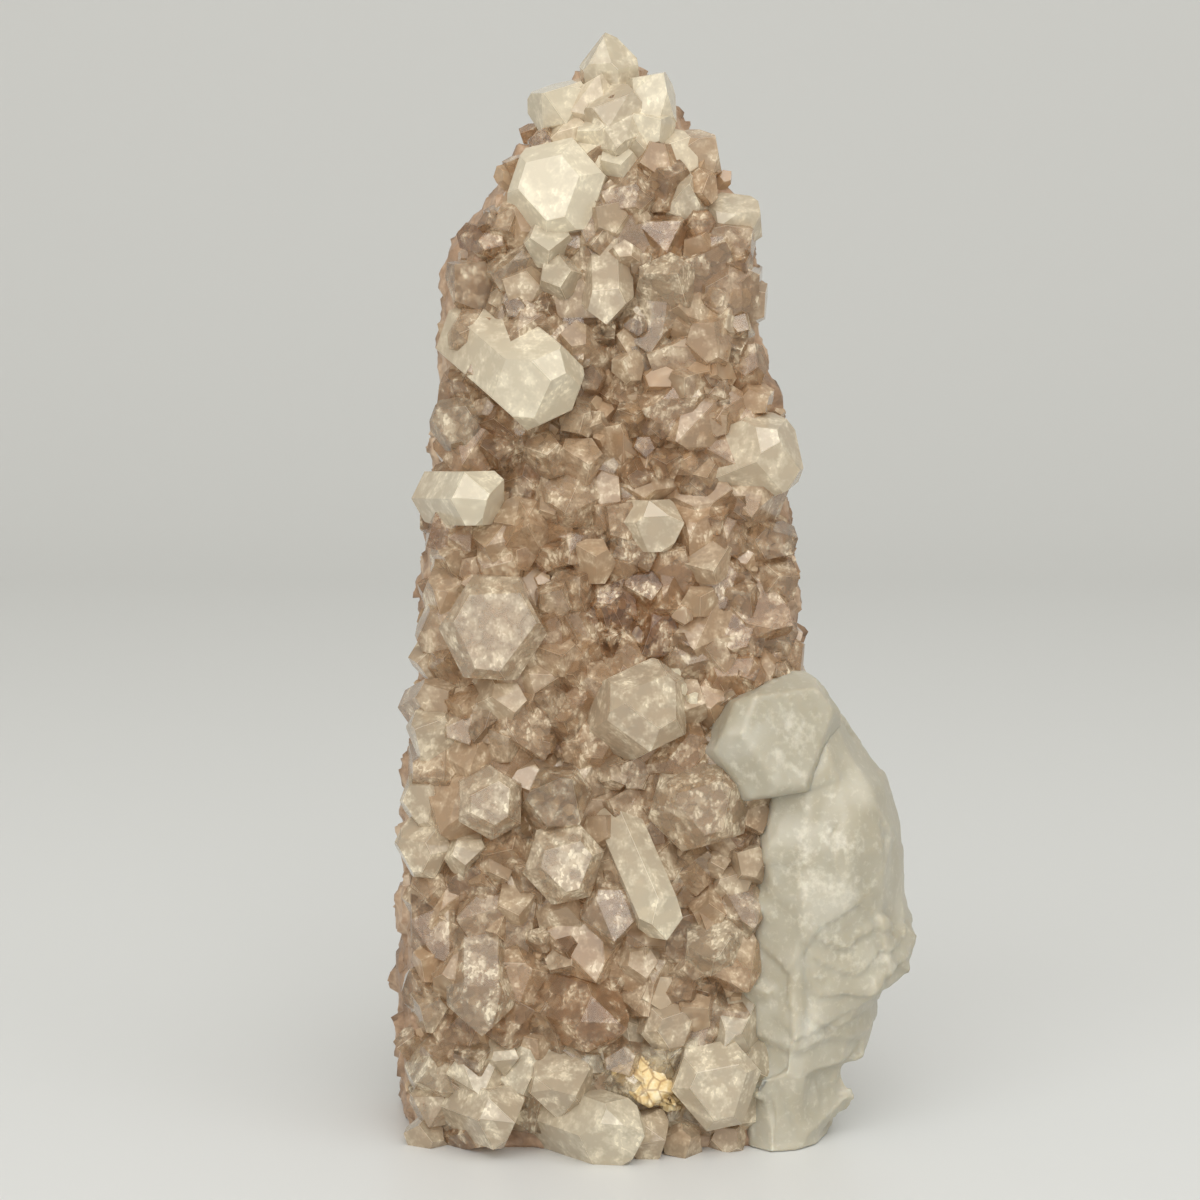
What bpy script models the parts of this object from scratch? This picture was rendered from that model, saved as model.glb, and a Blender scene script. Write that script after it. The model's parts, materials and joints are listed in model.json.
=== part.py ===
"""A hematoid quartz cluster: a cut-base tower of iron-stained quartz with a druse of crystals on its front.

Sizes in this file are millimetres until the mesh is made, in metres, +Z up. The front faces -Y and the
origin is the middle of the box's bottom, on the sawn foot.
"""
import math
import random
from collections import namedtuple
from itertools import combinations

import bmesh
import bpy
from mathutils import Matrix, Vector
from mathutils.bvhtree import BVHTree

MM = 0.001
SEED = 41

# The tower's own lump of quartz, as levels: height, left, right, front and back.
TOWER = (
    (0.0, -29.4, 21.0, -12.6, 14.6),
    (9.0, -29.8, 20.6, -12.8, 15.0),
    (20.0, -29.7, 19.6, -12.4, 14.6),
    (33.0, -29.0, 18.6, -11.8, 13.4),
    (47.0, -28.0, 17.8, -11.2, 12.8),
    (62.0, -26.4, 17.0, -10.4, 11.4),
    (78.0, -25.0, 15.4, -9.4, 10.2),
    (90.0, -24.0, 12.8, -8.8, 9.0),
    (99.0, -22.4, 12.2, -8.2, 7.8),
    (106.0, -19.2, 9.8, -7.0, 6.6),
    (112.0, -15.2, 5.6, -5.6, 5.2),
    (117.0, -11.0, 2.0, -4.2, 3.8),
    (120.5, -8.4, -1.4, -2.6, 2.4),
)
# Corners of a level, as shares of its half width and half depth. The left side is a broken face that
# turns a little towards the front.
TOWER_CORNERS = (
    (-0.86, -0.80), (-0.62, -0.96), (-0.30, -1.00), (0.05, -1.00), (0.38, -0.98), (0.68, -0.92), (0.90, -0.72),
    (1.00, -0.30), (0.98, 0.12), (0.92, 0.50), (0.72, 0.84), (0.42, 0.97), (0.08, 1.00), (-0.28, 0.98),
    (-0.62, 0.95), (-0.88, 0.84), (-1.00, 0.50), (-0.97, 0.04), (-0.92, -0.40),
)
RING_STEP = 6.2
# How far the broken surface wanders, on the front under the druse and on the back.
ROUGHNESS = 0.75
BACK_ROUGHNESS = 1.25
LEDGES = ((18.0, 27.0, 1.6), (41.0, 50.0, -1.8), (60.0, 70.0, 1.3), (76.0, 84.0, -1.2), (95.0, 102.0, 0.9))

# The milky mass grown into the lower right side, as levels like the tower's.
MILKY_MASS = (
    (0.0, 9.8, 21.0, -14.6, 8.4),
    (4.0, 9.4, 21.8, -15.0, 9.0),
    (8.2, 9.6, 21.6, -14.8, 9.2),
    (9.8, 9.6, 25.0, -15.2, 9.6),
    (16.0, 9.0, 26.0, -15.6, 10.0),
    (18.2, 9.2, 29.2, -15.4, 10.4),
    (22.6, 9.8, 30.6, -15.4, 10.4),
    (29.0, 10.6, 29.6, -16.0, 9.6),
    (35.0, 11.2, 28.6, -16.2, 8.8),
    (41.0, 12.6, 26.8, -15.2, 7.6),
    (45.0, 14.0, 23.8, -13.6, 6.0),
    (48.0, 15.6, 21.2, -11.6, 4.0),
)
MASS_CORNERS = (
    (-0.95, -0.35), (-0.80, -0.80), (-0.35, -1.00), (0.15, -0.94), (0.62, -0.72), (0.92, -0.30), (1.00, 0.12),
    (0.86, 0.60), (0.40, 0.96), (-0.20, 1.00), (-0.80, 0.84), (-1.00, 0.30),
)

# A six-sided crystal: where the middle of its head stands in the front view, how wide it is, how far its
# body reaches back, how far the head stands out of the tower, which way it points (right, up, for one unit
# towards the viewer), the turn of its corners in degrees and how much of its point is there: 1 is an even
# point, 0.3 a large level face with a bevelled rim.
Crystal = namedtuple("Crystal", "x z width length out right up turn point")

TOP = (
    Crystal(-4.8, 121.3, 6.6, 10.0, 0.4, -0.40, 4.00, 0.0, 1.00),
    Crystal(-10.6, 117.0, 7.4, 9.0, 2.4, -0.50, 0.50, 10.0, 0.55),
    Crystal(-13.7, 113.6, 3.0, 5.0, 0.8, -0.90, 0.20, 0.0, 0.60),
    Crystal(-6.0, 113.4, 4.6, 7.0, 2.0, 0.05, 0.20, 20.0, 0.50),
    Crystal(0.2, 117.4, 7.0, 8.0, 1.4, 0.50, 0.80, 15.0, 0.80),
    Crystal(0.0, 114.2, 6.0, 8.0, 1.8, 0.40, 0.40, 0.0, 0.60),
    Crystal(5.4, 111.2, 6.8, 9.0, 1.4, 0.70, 0.70, 20.0, 0.70),
    Crystal(2.0, 107.3, 6.6, 8.0, 1.8, 0.20, 0.10, 0.0, 0.50),
    Crystal(-3.7, 109.3, 4.8, 6.0, 1.6, 0.10, 0.00, 15.0, 0.70),
    Crystal(-15.2, 109.4, 3.4, 5.0, 1.0, -0.70, 0.30, 10.0, 0.80),
)
UPPER = (
    Crystal(-10.8, 106.8, 11.2, 11.0, 3.6, -0.20, 0.10, 12.0, 0.34),
    Crystal(-11.2, 100.5, 5.8, 8.0, 2.6, 0.10, -0.25, 0.0, 0.60),
    Crystal(-10.2, 96.9, 5.2, 7.0, 2.5, 0.00, -0.35, 20.0, 0.80),
    Crystal(-5.0, 94.4, 5.8, 15.0, 3.0, 0.05, -1.60, 10.0, 0.90),
    Crystal(9.8, 104.0, 7.0, 8.0, 2.0, 0.80, 0.40, 25.0, 0.60),
    Crystal(5.4, 102.8, 4.0, 5.0, 1.7, 0.20, -0.20, 0.0, 0.40),
    Crystal(1.2, 101.7, 6.2, 8.0, 1.2, 0.10, 0.30, 5.0, 0.40),
    Crystal(1.8, 96.6, 7.4, 8.0, 3.2, 0.15, 0.05, 25.0, 0.50),
    Crystal(-20.2, 97.0, 6.2, 7.0, 1.4, -0.50, 0.60, 0.0, 0.50),
    Crystal(-11.8, 85.4, 10.8, 13.6, 4.6, 0.75, -0.60, -35.0, 0.44),
    Crystal(-21.3, 81.3, 7.4, 7.0, 2.2, -0.35, 0.10, 10.0, 0.40),
    Crystal(-16.8, 78.3, 5.0, 6.0, 1.9, 0.00, -0.30, 0.0, 0.60),
    Crystal(-18.4, 73.2, 7.0, 10.6, 5.2, 0.55, 0.05, 0.0, 0.50),
    Crystal(-11.8, 77.6, 6.0, 6.0, 2.5, -0.10, 0.00, 15.0, 0.50),
    Crystal(-7.9, 77.0, 5.6, 6.0, 2.5, 0.20, -0.10, 0.0, 0.60),
    Crystal(1.5, 77.1, 4.0, 5.0, 2.1, 0.10, 0.10, 0.0, 0.60),
    Crystal(6.4, 90.6, 6.0, 8.0, 2.5, 0.25, 0.60, 10.0, 0.80),
    Crystal(10.8, 88.2, 4.8, 9.0, 1.9, 0.40, 1.20, 0.0, 1.00),
    Crystal(11.6, 94.8, 5.2, 7.0, 1.6, 0.70, 0.40, 10.0, 0.70),
    Crystal(9.4, 98.4, 4.6, 6.0, 1.6, 0.40, 0.20, 20.0, 0.80),
    Crystal(3.8, 85.5, 4.4, 6.0, 2.3, 0.00, 0.30, 0.0, 0.70),
    Crystal(12.0, 84.0, 4.2, 6.0, 1.5, 0.60, 0.20, 0.0, 0.80),
    Crystal(-2.6, 87.6, 4.2, 6.0, 1.9, -0.20, 0.30, 20.0, 0.70),
    Crystal(-1.8, 81.8, 4.8, 6.0, 1.9, 0.10, 0.10, 5.0, 0.60),
)
MIDDLE = (
    Crystal(13.4, 78.4, 10.2, 16.0, 3.0, 1.70, 0.75, 15.0, 0.42),
    Crystal(13.8, 68.6, 6.2, 8.0, 1.3, 1.30, 0.40, 0.0, 0.60),
    Crystal(14.6, 63.6, 5.8, 8.0, 1.0, 1.30, 0.30, 20.0, 0.60),
    Crystal(14.2, 57.4, 5.8, 8.0, 1.0, 1.30, 0.20, 0.0, 0.60),
    Crystal(1.0, 70.2, 6.4, 11.0, 3.0, 1.10, 0.02, 0.0, 0.70),
    Crystal(6.8, 71.0, 4.6, 5.0, 2.1, 0.30, 0.10, 10.0, 0.50),
    Crystal(6.2, 66.2, 6.2, 7.0, 2.3, 0.10, -0.10, 20.0, 0.50),
    Crystal(-6.6, 66.2, 5.4, 6.0, 2.5, -0.10, 0.10, 0.0, 0.50),
    Crystal(-14.5, 66.7, 4.0, 5.0, 1.9, -0.20, 0.20, 0.0, 0.80),
    Crystal(-10.9, 66.9, 4.2, 5.0, 1.9, 0.20, 0.30, 15.0, 0.80),
    Crystal(-3.0, 65.3, 4.4, 5.0, 2.1, 0.00, 0.20, 0.0, 0.60),
    Crystal(-1.0, 62.4, 5.2, 6.0, 2.1, 0.20, -0.30, 10.0, 0.50),
    Crystal(-17.4, 58.9, 12.4, 11.0, 5.8, -0.05, 0.03, -3.0, 0.26),
    Crystal(-24.7, 61.6, 4.4, 5.0, 1.1, -0.60, 0.10, 0.0, 0.70),
    Crystal(-24.4, 54.7, 5.6, 6.0, 1.5, -0.50, 0.00, 20.0, 0.50),
    Crystal(-16.3, 50.2, 5.8, 7.0, 2.7, 0.30, -0.35, 0.0, 0.60),
    Crystal(-10.4, 55.6, 5.2, 6.0, 2.5, 0.10, 0.10, 10.0, 0.60),
    Crystal(-0.4, 50.9, 11.0, 14.0, 4.8, 0.45, 0.40, 20.0, 0.40),
    Crystal(5.5, 61.6, 4.2, 5.0, 2.3, 0.10, 0.20, 0.0, 0.60),
    Crystal(10.0, 61.8, 5.2, 6.0, 1.9, 0.30, 0.20, 15.0, 0.60),
    Crystal(7.6, 56.0, 6.2, 7.0, 1.6, 0.20, 0.10, 5.0, 0.35),
    Crystal(-4.6, 57.4, 4.2, 5.0, 1.5, 0.00, 0.10, 5.0, 0.80),
    Crystal(3.1, 52.2, 1.9, 4.0, 3.0, 0.40, 0.60, 0.0, 1.00),
    Crystal(4.6, 51.0, 1.7, 4.0, 3.0, 0.60, 0.30, 15.0, 1.00),
    Crystal(2.5, 53.8, 1.6, 4.0, 2.4, 0.10, 0.70, 0.0, 1.00),
)
LOWER = (
    Crystal(-24.4, 46.6, 6.8, 8.0, 1.8, -0.50, 0.20, 0.0, 0.50),
    Crystal(-20.8, 50.3, 4.4, 6.0, 1.6, -0.20, 0.20, 15.0, 0.60),
    Crystal(-16.5, 46.0, 4.8, 6.0, 1.8, 0.10, 0.20, 0.0, 0.50),
    Crystal(-11.3, 46.0, 2.4, 4.0, 2.2, 0.40, 0.30, 10.0, 0.50),
    Crystal(-17.8, 39.9, 8.4, 9.0, 3.6, 0.15, 0.02, 28.0, 0.40),
    Crystal(-25.0, 39.3, 7.4, 8.0, 1.8, -0.45, 0.10, 10.0, 0.40),
    Crystal(-25.6, 33.7, 7.4, 8.0, 1.8, -0.45, -0.10, 0.0, 0.40),
    Crystal(-20.4, 33.1, 5.6, 7.0, 2.2, 0.10, -0.35, 0.0, 0.50),
    Crystal(-10.2, 40.4, 8.4, 10.0, 3.2, 0.30, 0.60, 0.0, 1.00),
    Crystal(-9.3, 33.0, 9.2, 10.0, 4.6, 0.10, 0.02, 12.0, 0.36),
    Crystal(0.6, 27.6, 6.0, 13.0, 5.2, 0.75, -1.60, 0.0, 0.80),
    Crystal(5.4, 39.4, 11.8, 10.0, 3.0, 0.10, 0.15, 15.0, 0.42),
    Crystal(-3.8, 26.4, 8.4, 8.0, 2.8, 0.10, -0.50, 0.0, 0.55),
    Crystal(-15.0, 28.0, 5.0, 6.0, 2.4, 0.20, -0.10, 10.0, 0.50),
    Crystal(-12.0, 29.3, 3.2, 5.0, 1.8, 0.10, -0.10, 0.0, 0.60),
    Crystal(-18.8, 17.2, 7.6, 9.0, 3.6, 0.05, -1.20, 0.0, 1.00),
    Crystal(-12.3, 24.0, 3.4, 5.0, 1.6, 0.10, 0.10, 15.0, 0.60),
    Crystal(-24.6, 21.0, 4.6, 6.0, 1.6, -0.30, 0.20, 0.0, 0.60),
    Crystal(9.6, 35.2, 3.8, 6.0, 1.6, 0.50, 0.20, 0.0, 0.60),
    Crystal(9.2, 29.6, 5.4, 6.0, 1.0, 0.30, 0.10, 10.0, 0.35),
    Crystal(6.8, 23.5, 7.4, 8.0, 2.6, 0.10, 0.05, 22.0, 0.50),
)
FOOT = (
    Crystal(-5.8, 15.8, 8.6, 14.0, 3.6, 1.20, -0.15, 0.0, 0.90),
    Crystal(2.2, 14.5, 7.2, 8.0, 2.6, 0.25, 0.00, 10.0, 0.40),
    Crystal(8.8, 14.8, 5.0, 6.0, 1.8, 0.10, 0.10, 0.0, 0.40),
    Crystal(6.5, 18.2, 3.8, 5.0, 1.8, 0.10, 0.10, 15.0, 0.50),
    Crystal(-25.2, 15.6, 5.4, 7.0, 1.6, -0.40, 0.20, 0.0, 0.50),
    Crystal(-27.0, 10.8, 4.4, 6.0, 1.2, -0.60, 0.00, 15.0, 0.60),
    Crystal(-23.6, 11.0, 4.8, 6.0, 1.8, -0.20, 0.10, 0.0, 0.50),
    Crystal(-19.4, 11.2, 5.4, 7.0, 2.0, 0.10, 0.20, 10.0, 0.50),
    Crystal(-16.4, 4.8, 8.2, 13.0, 4.2, 0.75, 0.00, 0.0, 0.50),
    Crystal(-9.6, 8.6, 8.0, 9.0, 3.4, 0.30, 0.10, 15.0, 0.50),
    Crystal(-3.6, 3.6, 8.2, 15.0, 6.2, 0.90, -0.05, 0.0, 0.55),
    Crystal(0.4, 2.2, 6.4, 10.0, 3.4, 0.90, 0.00, 10.0, 0.50),
    Crystal(7.3, 8.3, 10.8, 10.0, 4.0, 0.10, 0.05, 10.0, 0.38),
    Crystal(-24.6, 4.8, 5.6, 7.0, 1.2, -0.30, 0.00, 0.0, 0.40),
)
MILKY_CRYSTAL = Crystal(15.4, 46.6, 17.8, 15.0, 4.8, 0.36, 0.28, 18.0, 0.30)
LARGE = TOP + UPPER + MIDDLE + LOWER + FOOT + (MILKY_CRYSTAL,)

# The limonite chip that is caught between the foot crystals, as its own corners.
CHIP = ((-4.2, -14.8, 9.2), (3.2, -15.2, 5.2), (1.4, -17.4, 6.6), (-1.2, -16.6, 6.2), (-2.4, -15.4, 10.8),
        (1.2, -14.6, 11.4), (2.2, -13.0, 9.0), (-3.0, -12.0, 7.2), (1.0, -12.0, 5.6))

# Small crystals that fill the front between the large ones.
DRUSE_STEP = 5.7
DRUSE_WIDTH = (3.4, 5.6)
# The druse stops short of the broken left face by this much.
BROKEN_EDGE = 4.4
# Patches of crystals on the back: middle, reach and how many.
BACK_PATCHES = ((-15.0, 90.0, 6.5, 8), (7.0, 66.0, 7.0, 8), (-18.0, 30.0, 7.5, 8))
BACK_WIDTH = (4.0, 6.6)

# Quartz's pointed faces lean 38.2 degrees off its sides. A crystal under the plain width has three of them,
# and a wider one six, every second one smaller. Up to the blunt share a level face cuts them all, and above
# it one of the pointed faces leads and grows over the others.
FACE_TILT = math.radians(51.8)
PLAIN_WIDTH = 6.3
BLUNT = 0.45

# The middle of the finished box, measured from the layout's own origin.
BOX_MIDDLE = (0.3, -2.1)


def clear_scene():
    """Take out whatever the new file holds."""
    for thing in list(bpy.data.objects):
        bpy.data.objects.remove(thing, do_unlink=True)


def between(levels, height):
    """The level at a height, on straight lines between the listed ones."""
    if height <= levels[0][0]:
        return levels[0][1:]
    for low, high in zip(levels, levels[1:]):
        if height <= high[0]:
            share = (height - low[0]) / (high[0] - low[0])
            return tuple(a + (b - a) * share for a, b in zip(low[1:], high[1:]))
    return levels[-1][1:]


def ring_heights(levels, step):
    """Even heights, with each listed level kept."""
    heights = []
    for low, high in zip(levels, levels[1:]):
        parts = max(1, round((high[0] - low[0]) / step))
        heights += [low[0] + (high[0] - low[0]) * k / parts for k in range(parts)]
    return heights + [levels[-1][0]]


def ledge_at(height):
    """How far the back steps in or out at a height, as a broken surface does."""
    for low, high, depth in LEDGES:
        if low <= height <= high:
            return depth
    return 0.0


def lofted_lump(levels, corners, step, dice, ledges):
    """A closed rough lump on rings, with a flat foot."""
    mesh = bmesh.new()
    rings = []
    for height in ring_heights(levels, step):
        left, right, front, back = between(levels, height)
        ring = []
        for u, v in corners:
            x = (left + right) / 2 + u * (right - left) / 2
            y = (front + back) / 2 + v * (back - front) / 2
            shake = ROUGHNESS
            if ledges and v > 0.4:
                y += ledge_at(height)
                shake = BACK_ROUGHNESS
            if height == 0:
                shake = 0.0
            x += dice.uniform(-shake, shake) * (0.6 if abs(u) > 0.8 else 1.0)
            y += dice.uniform(-shake, shake)
            z = height + dice.uniform(-shake, shake) if 0 < height < levels[-1][0] else height
            ring.append(mesh.verts.new((x, y, z)))
        rings.append(ring)
    count = len(corners)
    for low, high in zip(rings, rings[1:]):
        for k in range(count):
            mesh.faces.new((low[k], low[(k + 1) % count], high[(k + 1) % count], high[k]))
    mesh.faces.new(reversed(rings[0]))
    mesh.faces.new(rings[-1])
    bmesh.ops.triangulate(mesh, faces=mesh.faces[:])
    bmesh.ops.recalc_face_normals(mesh, faces=mesh.faces[:])
    return mesh


def axes_of(aim):
    """Three axes at right angles: across, up and along the way a crystal points."""
    along = aim.normalized()
    across = Vector((0, 0, 1)).cross(along)
    if across.length < 0.2:
        across = Vector((0, 1, 0)).cross(along)
    across.normalize()
    return across, along.cross(across), along


def crystal_faces(crystal, dice):
    """Every flat face of a crystal, as an outward direction and a distance, about the middle of its head."""
    half = crystal.width / 2 * math.cos(math.pi / 6)
    faces = [(Vector((0, 0, -1)), crystal.length)]
    leading = dice.randrange(1, 6, 2)
    for k in range(6):
        around = math.radians(crystal.turn + 30 + 60 * k)
        flat = Vector((math.cos(around), math.sin(around), 0))
        faces.append((flat, half * dice.uniform(0.88, 1.12)))
        if k % 2 == 0 and crystal.width < PLAIN_WIDTH:
            continue
        tilt = FACE_TILT + dice.uniform(-0.05, 0.05)
        lean = flat * math.sin(tilt) + Vector((0, 0, math.cos(tilt)))
        grown = dice.uniform(0.84, 1.0) if k % 2 else dice.uniform(1.0, 1.16)
        if k == leading and crystal.point > BLUNT:
            grown = crystal.point
        faces.append((lean, half * math.sin(tilt) * grown))
    if crystal.point <= BLUNT:
        top = Vector((dice.uniform(-0.12, 0.12), dice.uniform(-0.12, 0.12), 1)).normalized()
        faces.append((top, half * math.tan(FACE_TILT) * crystal.point))
    return faces


def corners_of(faces):
    """The points where three faces meet inside all the others."""
    points = []
    for trio in combinations(faces, 3):
        turned = Matrix([normal for normal, _ in trio])
        if abs(turned.determinant()) < 1e-4:
            continue
        point = turned.inverted() @ Vector([distance for _, distance in trio])
        if all(normal.dot(point) <= distance + 1e-5 for normal, distance in faces):
            if all((point - other).length > 1e-3 for other in points):
                points.append(point)
    return points


def hull_of(points):
    """A closed convex mesh round the points, its flat faces whole."""
    mesh = bmesh.new()
    for point in points:
        mesh.verts.new(point)
    bmesh.ops.convex_hull(mesh, input=mesh.verts[:])
    loose = [vert for vert in mesh.verts if not vert.link_faces]
    bmesh.ops.delete(mesh, geom=loose, context="VERTS")
    bmesh.ops.dissolve_limit(mesh, angle_limit=0.01, verts=mesh.verts[:], edges=mesh.edges[:])
    bmesh.ops.recalc_face_normals(mesh, faces=mesh.faces[:])
    return mesh


def grown_crystal(crystal, skin, dice):
    """A crystal's mesh, rooted in the tower where a ray from the front meets it."""
    aim = Vector((crystal.right, -1, crystal.up))
    hit = skin.ray_cast(Vector((crystal.x, -80, crystal.z)), Vector((0, 1, 0)))[0]
    depth = hit.y if hit else -2.0
    head = Vector((crystal.x, depth - crystal.out, crystal.z))
    return placed_crystal(crystal, head, aim, dice)


def placed_crystal(crystal, head, aim, dice):
    """A crystal's mesh with the middle of its head at a point."""
    across, up, along = axes_of(aim)
    turn = Matrix((across, up, along)).transposed()
    return hull_of([head + turn @ point for point in corners_of(crystal_faces(crystal, dice))])


def hidden_by_larger(x, z):
    """Whether a place on the front lies under the head of a listed crystal."""
    return any(math.hypot(x - large.x, z - large.z) < 0.42 * large.width for large in LARGE)


def front_druse(skin, dice):
    """Small crystals on an uneven grid over the front."""
    grown = []
    height = 2.0
    row = 0
    while height < 119:
        left, right, _, _ = between(TOWER, height)
        x = left + BROKEN_EDGE + (row % 2) * DRUSE_STEP / 2
        while x < right - BROKEN_EDGE / 2:
            width = dice.uniform(*DRUSE_WIDTH)
            small = Crystal(x + dice.uniform(-1.3, 1.3), height + dice.uniform(-1.3, 1.3), width, width * 1.5,
                            dice.uniform(0.2, 2.0), dice.gauss(0, 0.45), dice.gauss(0, 0.45),
                            dice.uniform(0, 60), 1.0)
            if not hidden_by_larger(small.x, small.z):
                grown.append(grown_crystal(small, skin, dice))
            x += DRUSE_STEP
        height += DRUSE_STEP * 0.87
        row += 1
    return grown


def back_druse(skin, dice):
    """Patches of crystals on the broken back."""
    grown = []
    for middle_x, middle_z, reach, count in BACK_PATCHES:
        for number in range(count):
            around = 2.4 * number
            away = reach * math.sqrt(number / count)
            x = middle_x + away * math.cos(around) + dice.uniform(-0.6, 0.6)
            z = middle_z + away * math.sin(around) + dice.uniform(-0.6, 0.6)
            hit, normal, _, _ = skin.ray_cast(Vector((x, 80, z)), Vector((0, -1, 0)))
            if hit is None:
                continue
            width = dice.uniform(*BACK_WIDTH) * (1.2 - 0.5 * away / reach)
            grow = Crystal(x, z, width, width * 1.3, 0, 0, 0, dice.uniform(0, 60), dice.choice((0.6, 0.8, 1.0)))
            aim = normal.normalized() + Vector((dice.gauss(0, 0.35), 0, dice.gauss(0.1, 0.35)))
            grown.append(placed_crystal(grow, hit + aim.normalized() * width * 0.1, aim, dice))
    return grown


def limonite_chip():
    """The yellow chip between the foot crystals."""
    return hull_of([Vector(corner) for corner in CHIP])


def as_object(mesh, name):
    """Turn a bmesh in millimetres into an object in metres."""
    data = bpy.data.meshes.new(name)
    mesh.transform(Matrix.Scale(MM, 4))
    mesh.to_mesh(data)
    mesh.free()
    thing = bpy.data.objects.new(name, data)
    bpy.context.scene.collection.objects.link(thing)
    return thing


def evaluated(thing):
    """Fix an object's modifiers into its mesh."""
    bpy.context.view_layer.update()
    graph = bpy.context.evaluated_depsgraph_get()
    fixed = bpy.data.meshes.new_from_object(thing.evaluated_get(graph))
    thing.modifiers.clear()
    thing.data = fixed


def fused(tower, grown):
    """Join every crystal with the tower, in one solid."""
    group = bpy.data.collections.new("grown")
    bpy.context.scene.collection.children.link(group)
    for number, mesh in enumerate(grown):
        thing = as_object(mesh, f"grown_{number}")
        bpy.context.scene.collection.objects.unlink(thing)
        group.objects.link(thing)
    join = tower.modifiers.new("join", "BOOLEAN")
    join.operation = "UNION"
    join.solver = "EXACT"
    join.operand_type = "COLLECTION"
    join.collection = group
    evaluated(tower)
    for thing in list(group.objects):
        bpy.data.objects.remove(thing, do_unlink=True)
    bpy.data.collections.remove(group)


def sawn_foot(tower):
    """Saw the foot flat at z = 0."""
    saw = bmesh.new()
    bmesh.ops.create_cube(saw, size=1.0)
    bmesh.ops.scale(saw, vec=(160, 160, 30), verts=saw.verts[:])
    bmesh.ops.translate(saw, vec=(0, 0, -15), verts=saw.verts[:])
    block = as_object(saw, "saw")
    cut = tower.modifiers.new("cut", "BOOLEAN")
    cut.operation = "DIFFERENCE"
    cut.solver = "EXACT"
    cut.object = block
    evaluated(tower)
    bpy.data.objects.remove(block, do_unlink=True)


def without_sealed_gaps(tower):
    """Fill each gap that crystals close off inside the solid, by keeping the outer skin alone."""
    mesh = bmesh.new()
    mesh.from_mesh(tower.data)
    left = set(mesh.faces)
    skins = []
    while left:
        skin = set()
        front = [left.pop()]
        while front:
            face = front.pop()
            skin.add(face)
            beside = {other for edge in face.edges for other in edge.link_faces} & left
            left -= beside
            front += beside
        skins.append(skin)
    skins.sort(key=len)
    inner = [face for skin in skins[:-1] for face in skin]
    print("sealed gaps filled:", len(skins) - 1)
    bmesh.ops.delete(mesh, geom=inner, context="FACES")
    mesh.to_mesh(tower.data)
    mesh.free()


def quartz_material():
    """Quartz tinted by iron oxide: pinkish tan and glossy."""
    look = bpy.data.materials.new("hematoid_quartz")
    look.use_nodes = True
    shader = look.node_tree.nodes["Principled BSDF"]
    shader.inputs["Base Color"].default_value = (0.56, 0.36, 0.26, 1)
    shader.inputs["Roughness"].default_value = 0.3
    shader.inputs["Metallic"].default_value = 0.0
    return look


def quartz_cluster():
    """The whole specimen as one solid."""
    dice = random.Random(SEED)
    lump = lofted_lump(TOWER, TOWER_CORNERS, RING_STEP, dice, True)
    skin = BVHTree.FromBMesh(lump)
    grown = [lofted_lump(MILKY_MASS, MASS_CORNERS, RING_STEP, dice, False)]
    for crystal in LARGE:
        grown.append(grown_crystal(crystal, skin, dice))
    grown.append(limonite_chip())
    grown += front_druse(skin, dice)
    grown += back_druse(skin, dice)
    print("crystals and lumps:", len(grown))
    tower = as_object(lump, "quartz_cluster")
    fused(tower, grown)
    sawn_foot(tower)
    without_sealed_gaps(tower)
    tower.data.transform(Matrix.Translation((-BOX_MIDDLE[0] * MM, -BOX_MIDDLE[1] * MM, 0)))
    tower.data.materials.clear()
    tower.data.materials.append(quartz_material())
    return tower


clear_scene()
cluster = quartz_cluster()
cluster.data.calc_loop_triangles()
print("triangles:", len(cluster.data.loop_triangles))
lowest = [min(vert.co[k] for vert in cluster.data.vertices) * 1000 for k in range(3)]
highest = [max(vert.co[k] for vert in cluster.data.vertices) * 1000 for k in range(3)]
print("box, mm:", [round(value, 2) for value in lowest], [round(value, 2) for value in highest])
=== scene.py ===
# %% [markdown]
# # Hematoid quartz cluster
#
# A tower of quartz that iron oxide has tinted pink to red-brown. It was sawn flat at the foot, and its front
# is a druse: a crust of stubby six-sided crystals that grew together. A large milky mass has grown into its
# lower right side, and a little pale limonite sits between the crystals of the foot.
#
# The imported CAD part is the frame: it fixes where everything is. This script repeats its layout, fills the
# gaps between its crystals, and gives everything the finish of the real stone.

# %% Load the frame
import json
import math
import random
from collections import namedtuple
from itertools import combinations

import bmesh
import bpy
import numpy as np
from mathutils import Matrix, Vector, kdtree
from mathutils.bvhtree import BVHTree

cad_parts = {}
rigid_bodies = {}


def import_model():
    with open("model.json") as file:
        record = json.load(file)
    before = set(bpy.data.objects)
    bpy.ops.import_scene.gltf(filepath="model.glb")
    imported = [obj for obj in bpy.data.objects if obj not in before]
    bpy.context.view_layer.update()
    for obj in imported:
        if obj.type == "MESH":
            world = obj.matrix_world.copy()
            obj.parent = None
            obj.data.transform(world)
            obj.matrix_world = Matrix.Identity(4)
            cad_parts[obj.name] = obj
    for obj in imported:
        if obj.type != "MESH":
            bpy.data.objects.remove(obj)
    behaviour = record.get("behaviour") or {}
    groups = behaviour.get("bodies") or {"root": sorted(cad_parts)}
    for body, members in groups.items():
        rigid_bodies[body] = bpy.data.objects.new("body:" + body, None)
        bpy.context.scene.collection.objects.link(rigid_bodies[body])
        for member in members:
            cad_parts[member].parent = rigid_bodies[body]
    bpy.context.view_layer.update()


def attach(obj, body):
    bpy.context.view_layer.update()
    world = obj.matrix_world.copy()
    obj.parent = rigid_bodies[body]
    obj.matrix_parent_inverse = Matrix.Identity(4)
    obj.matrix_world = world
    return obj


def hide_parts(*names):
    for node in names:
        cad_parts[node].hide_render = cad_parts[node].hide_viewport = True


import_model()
MM = 0.001

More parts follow.
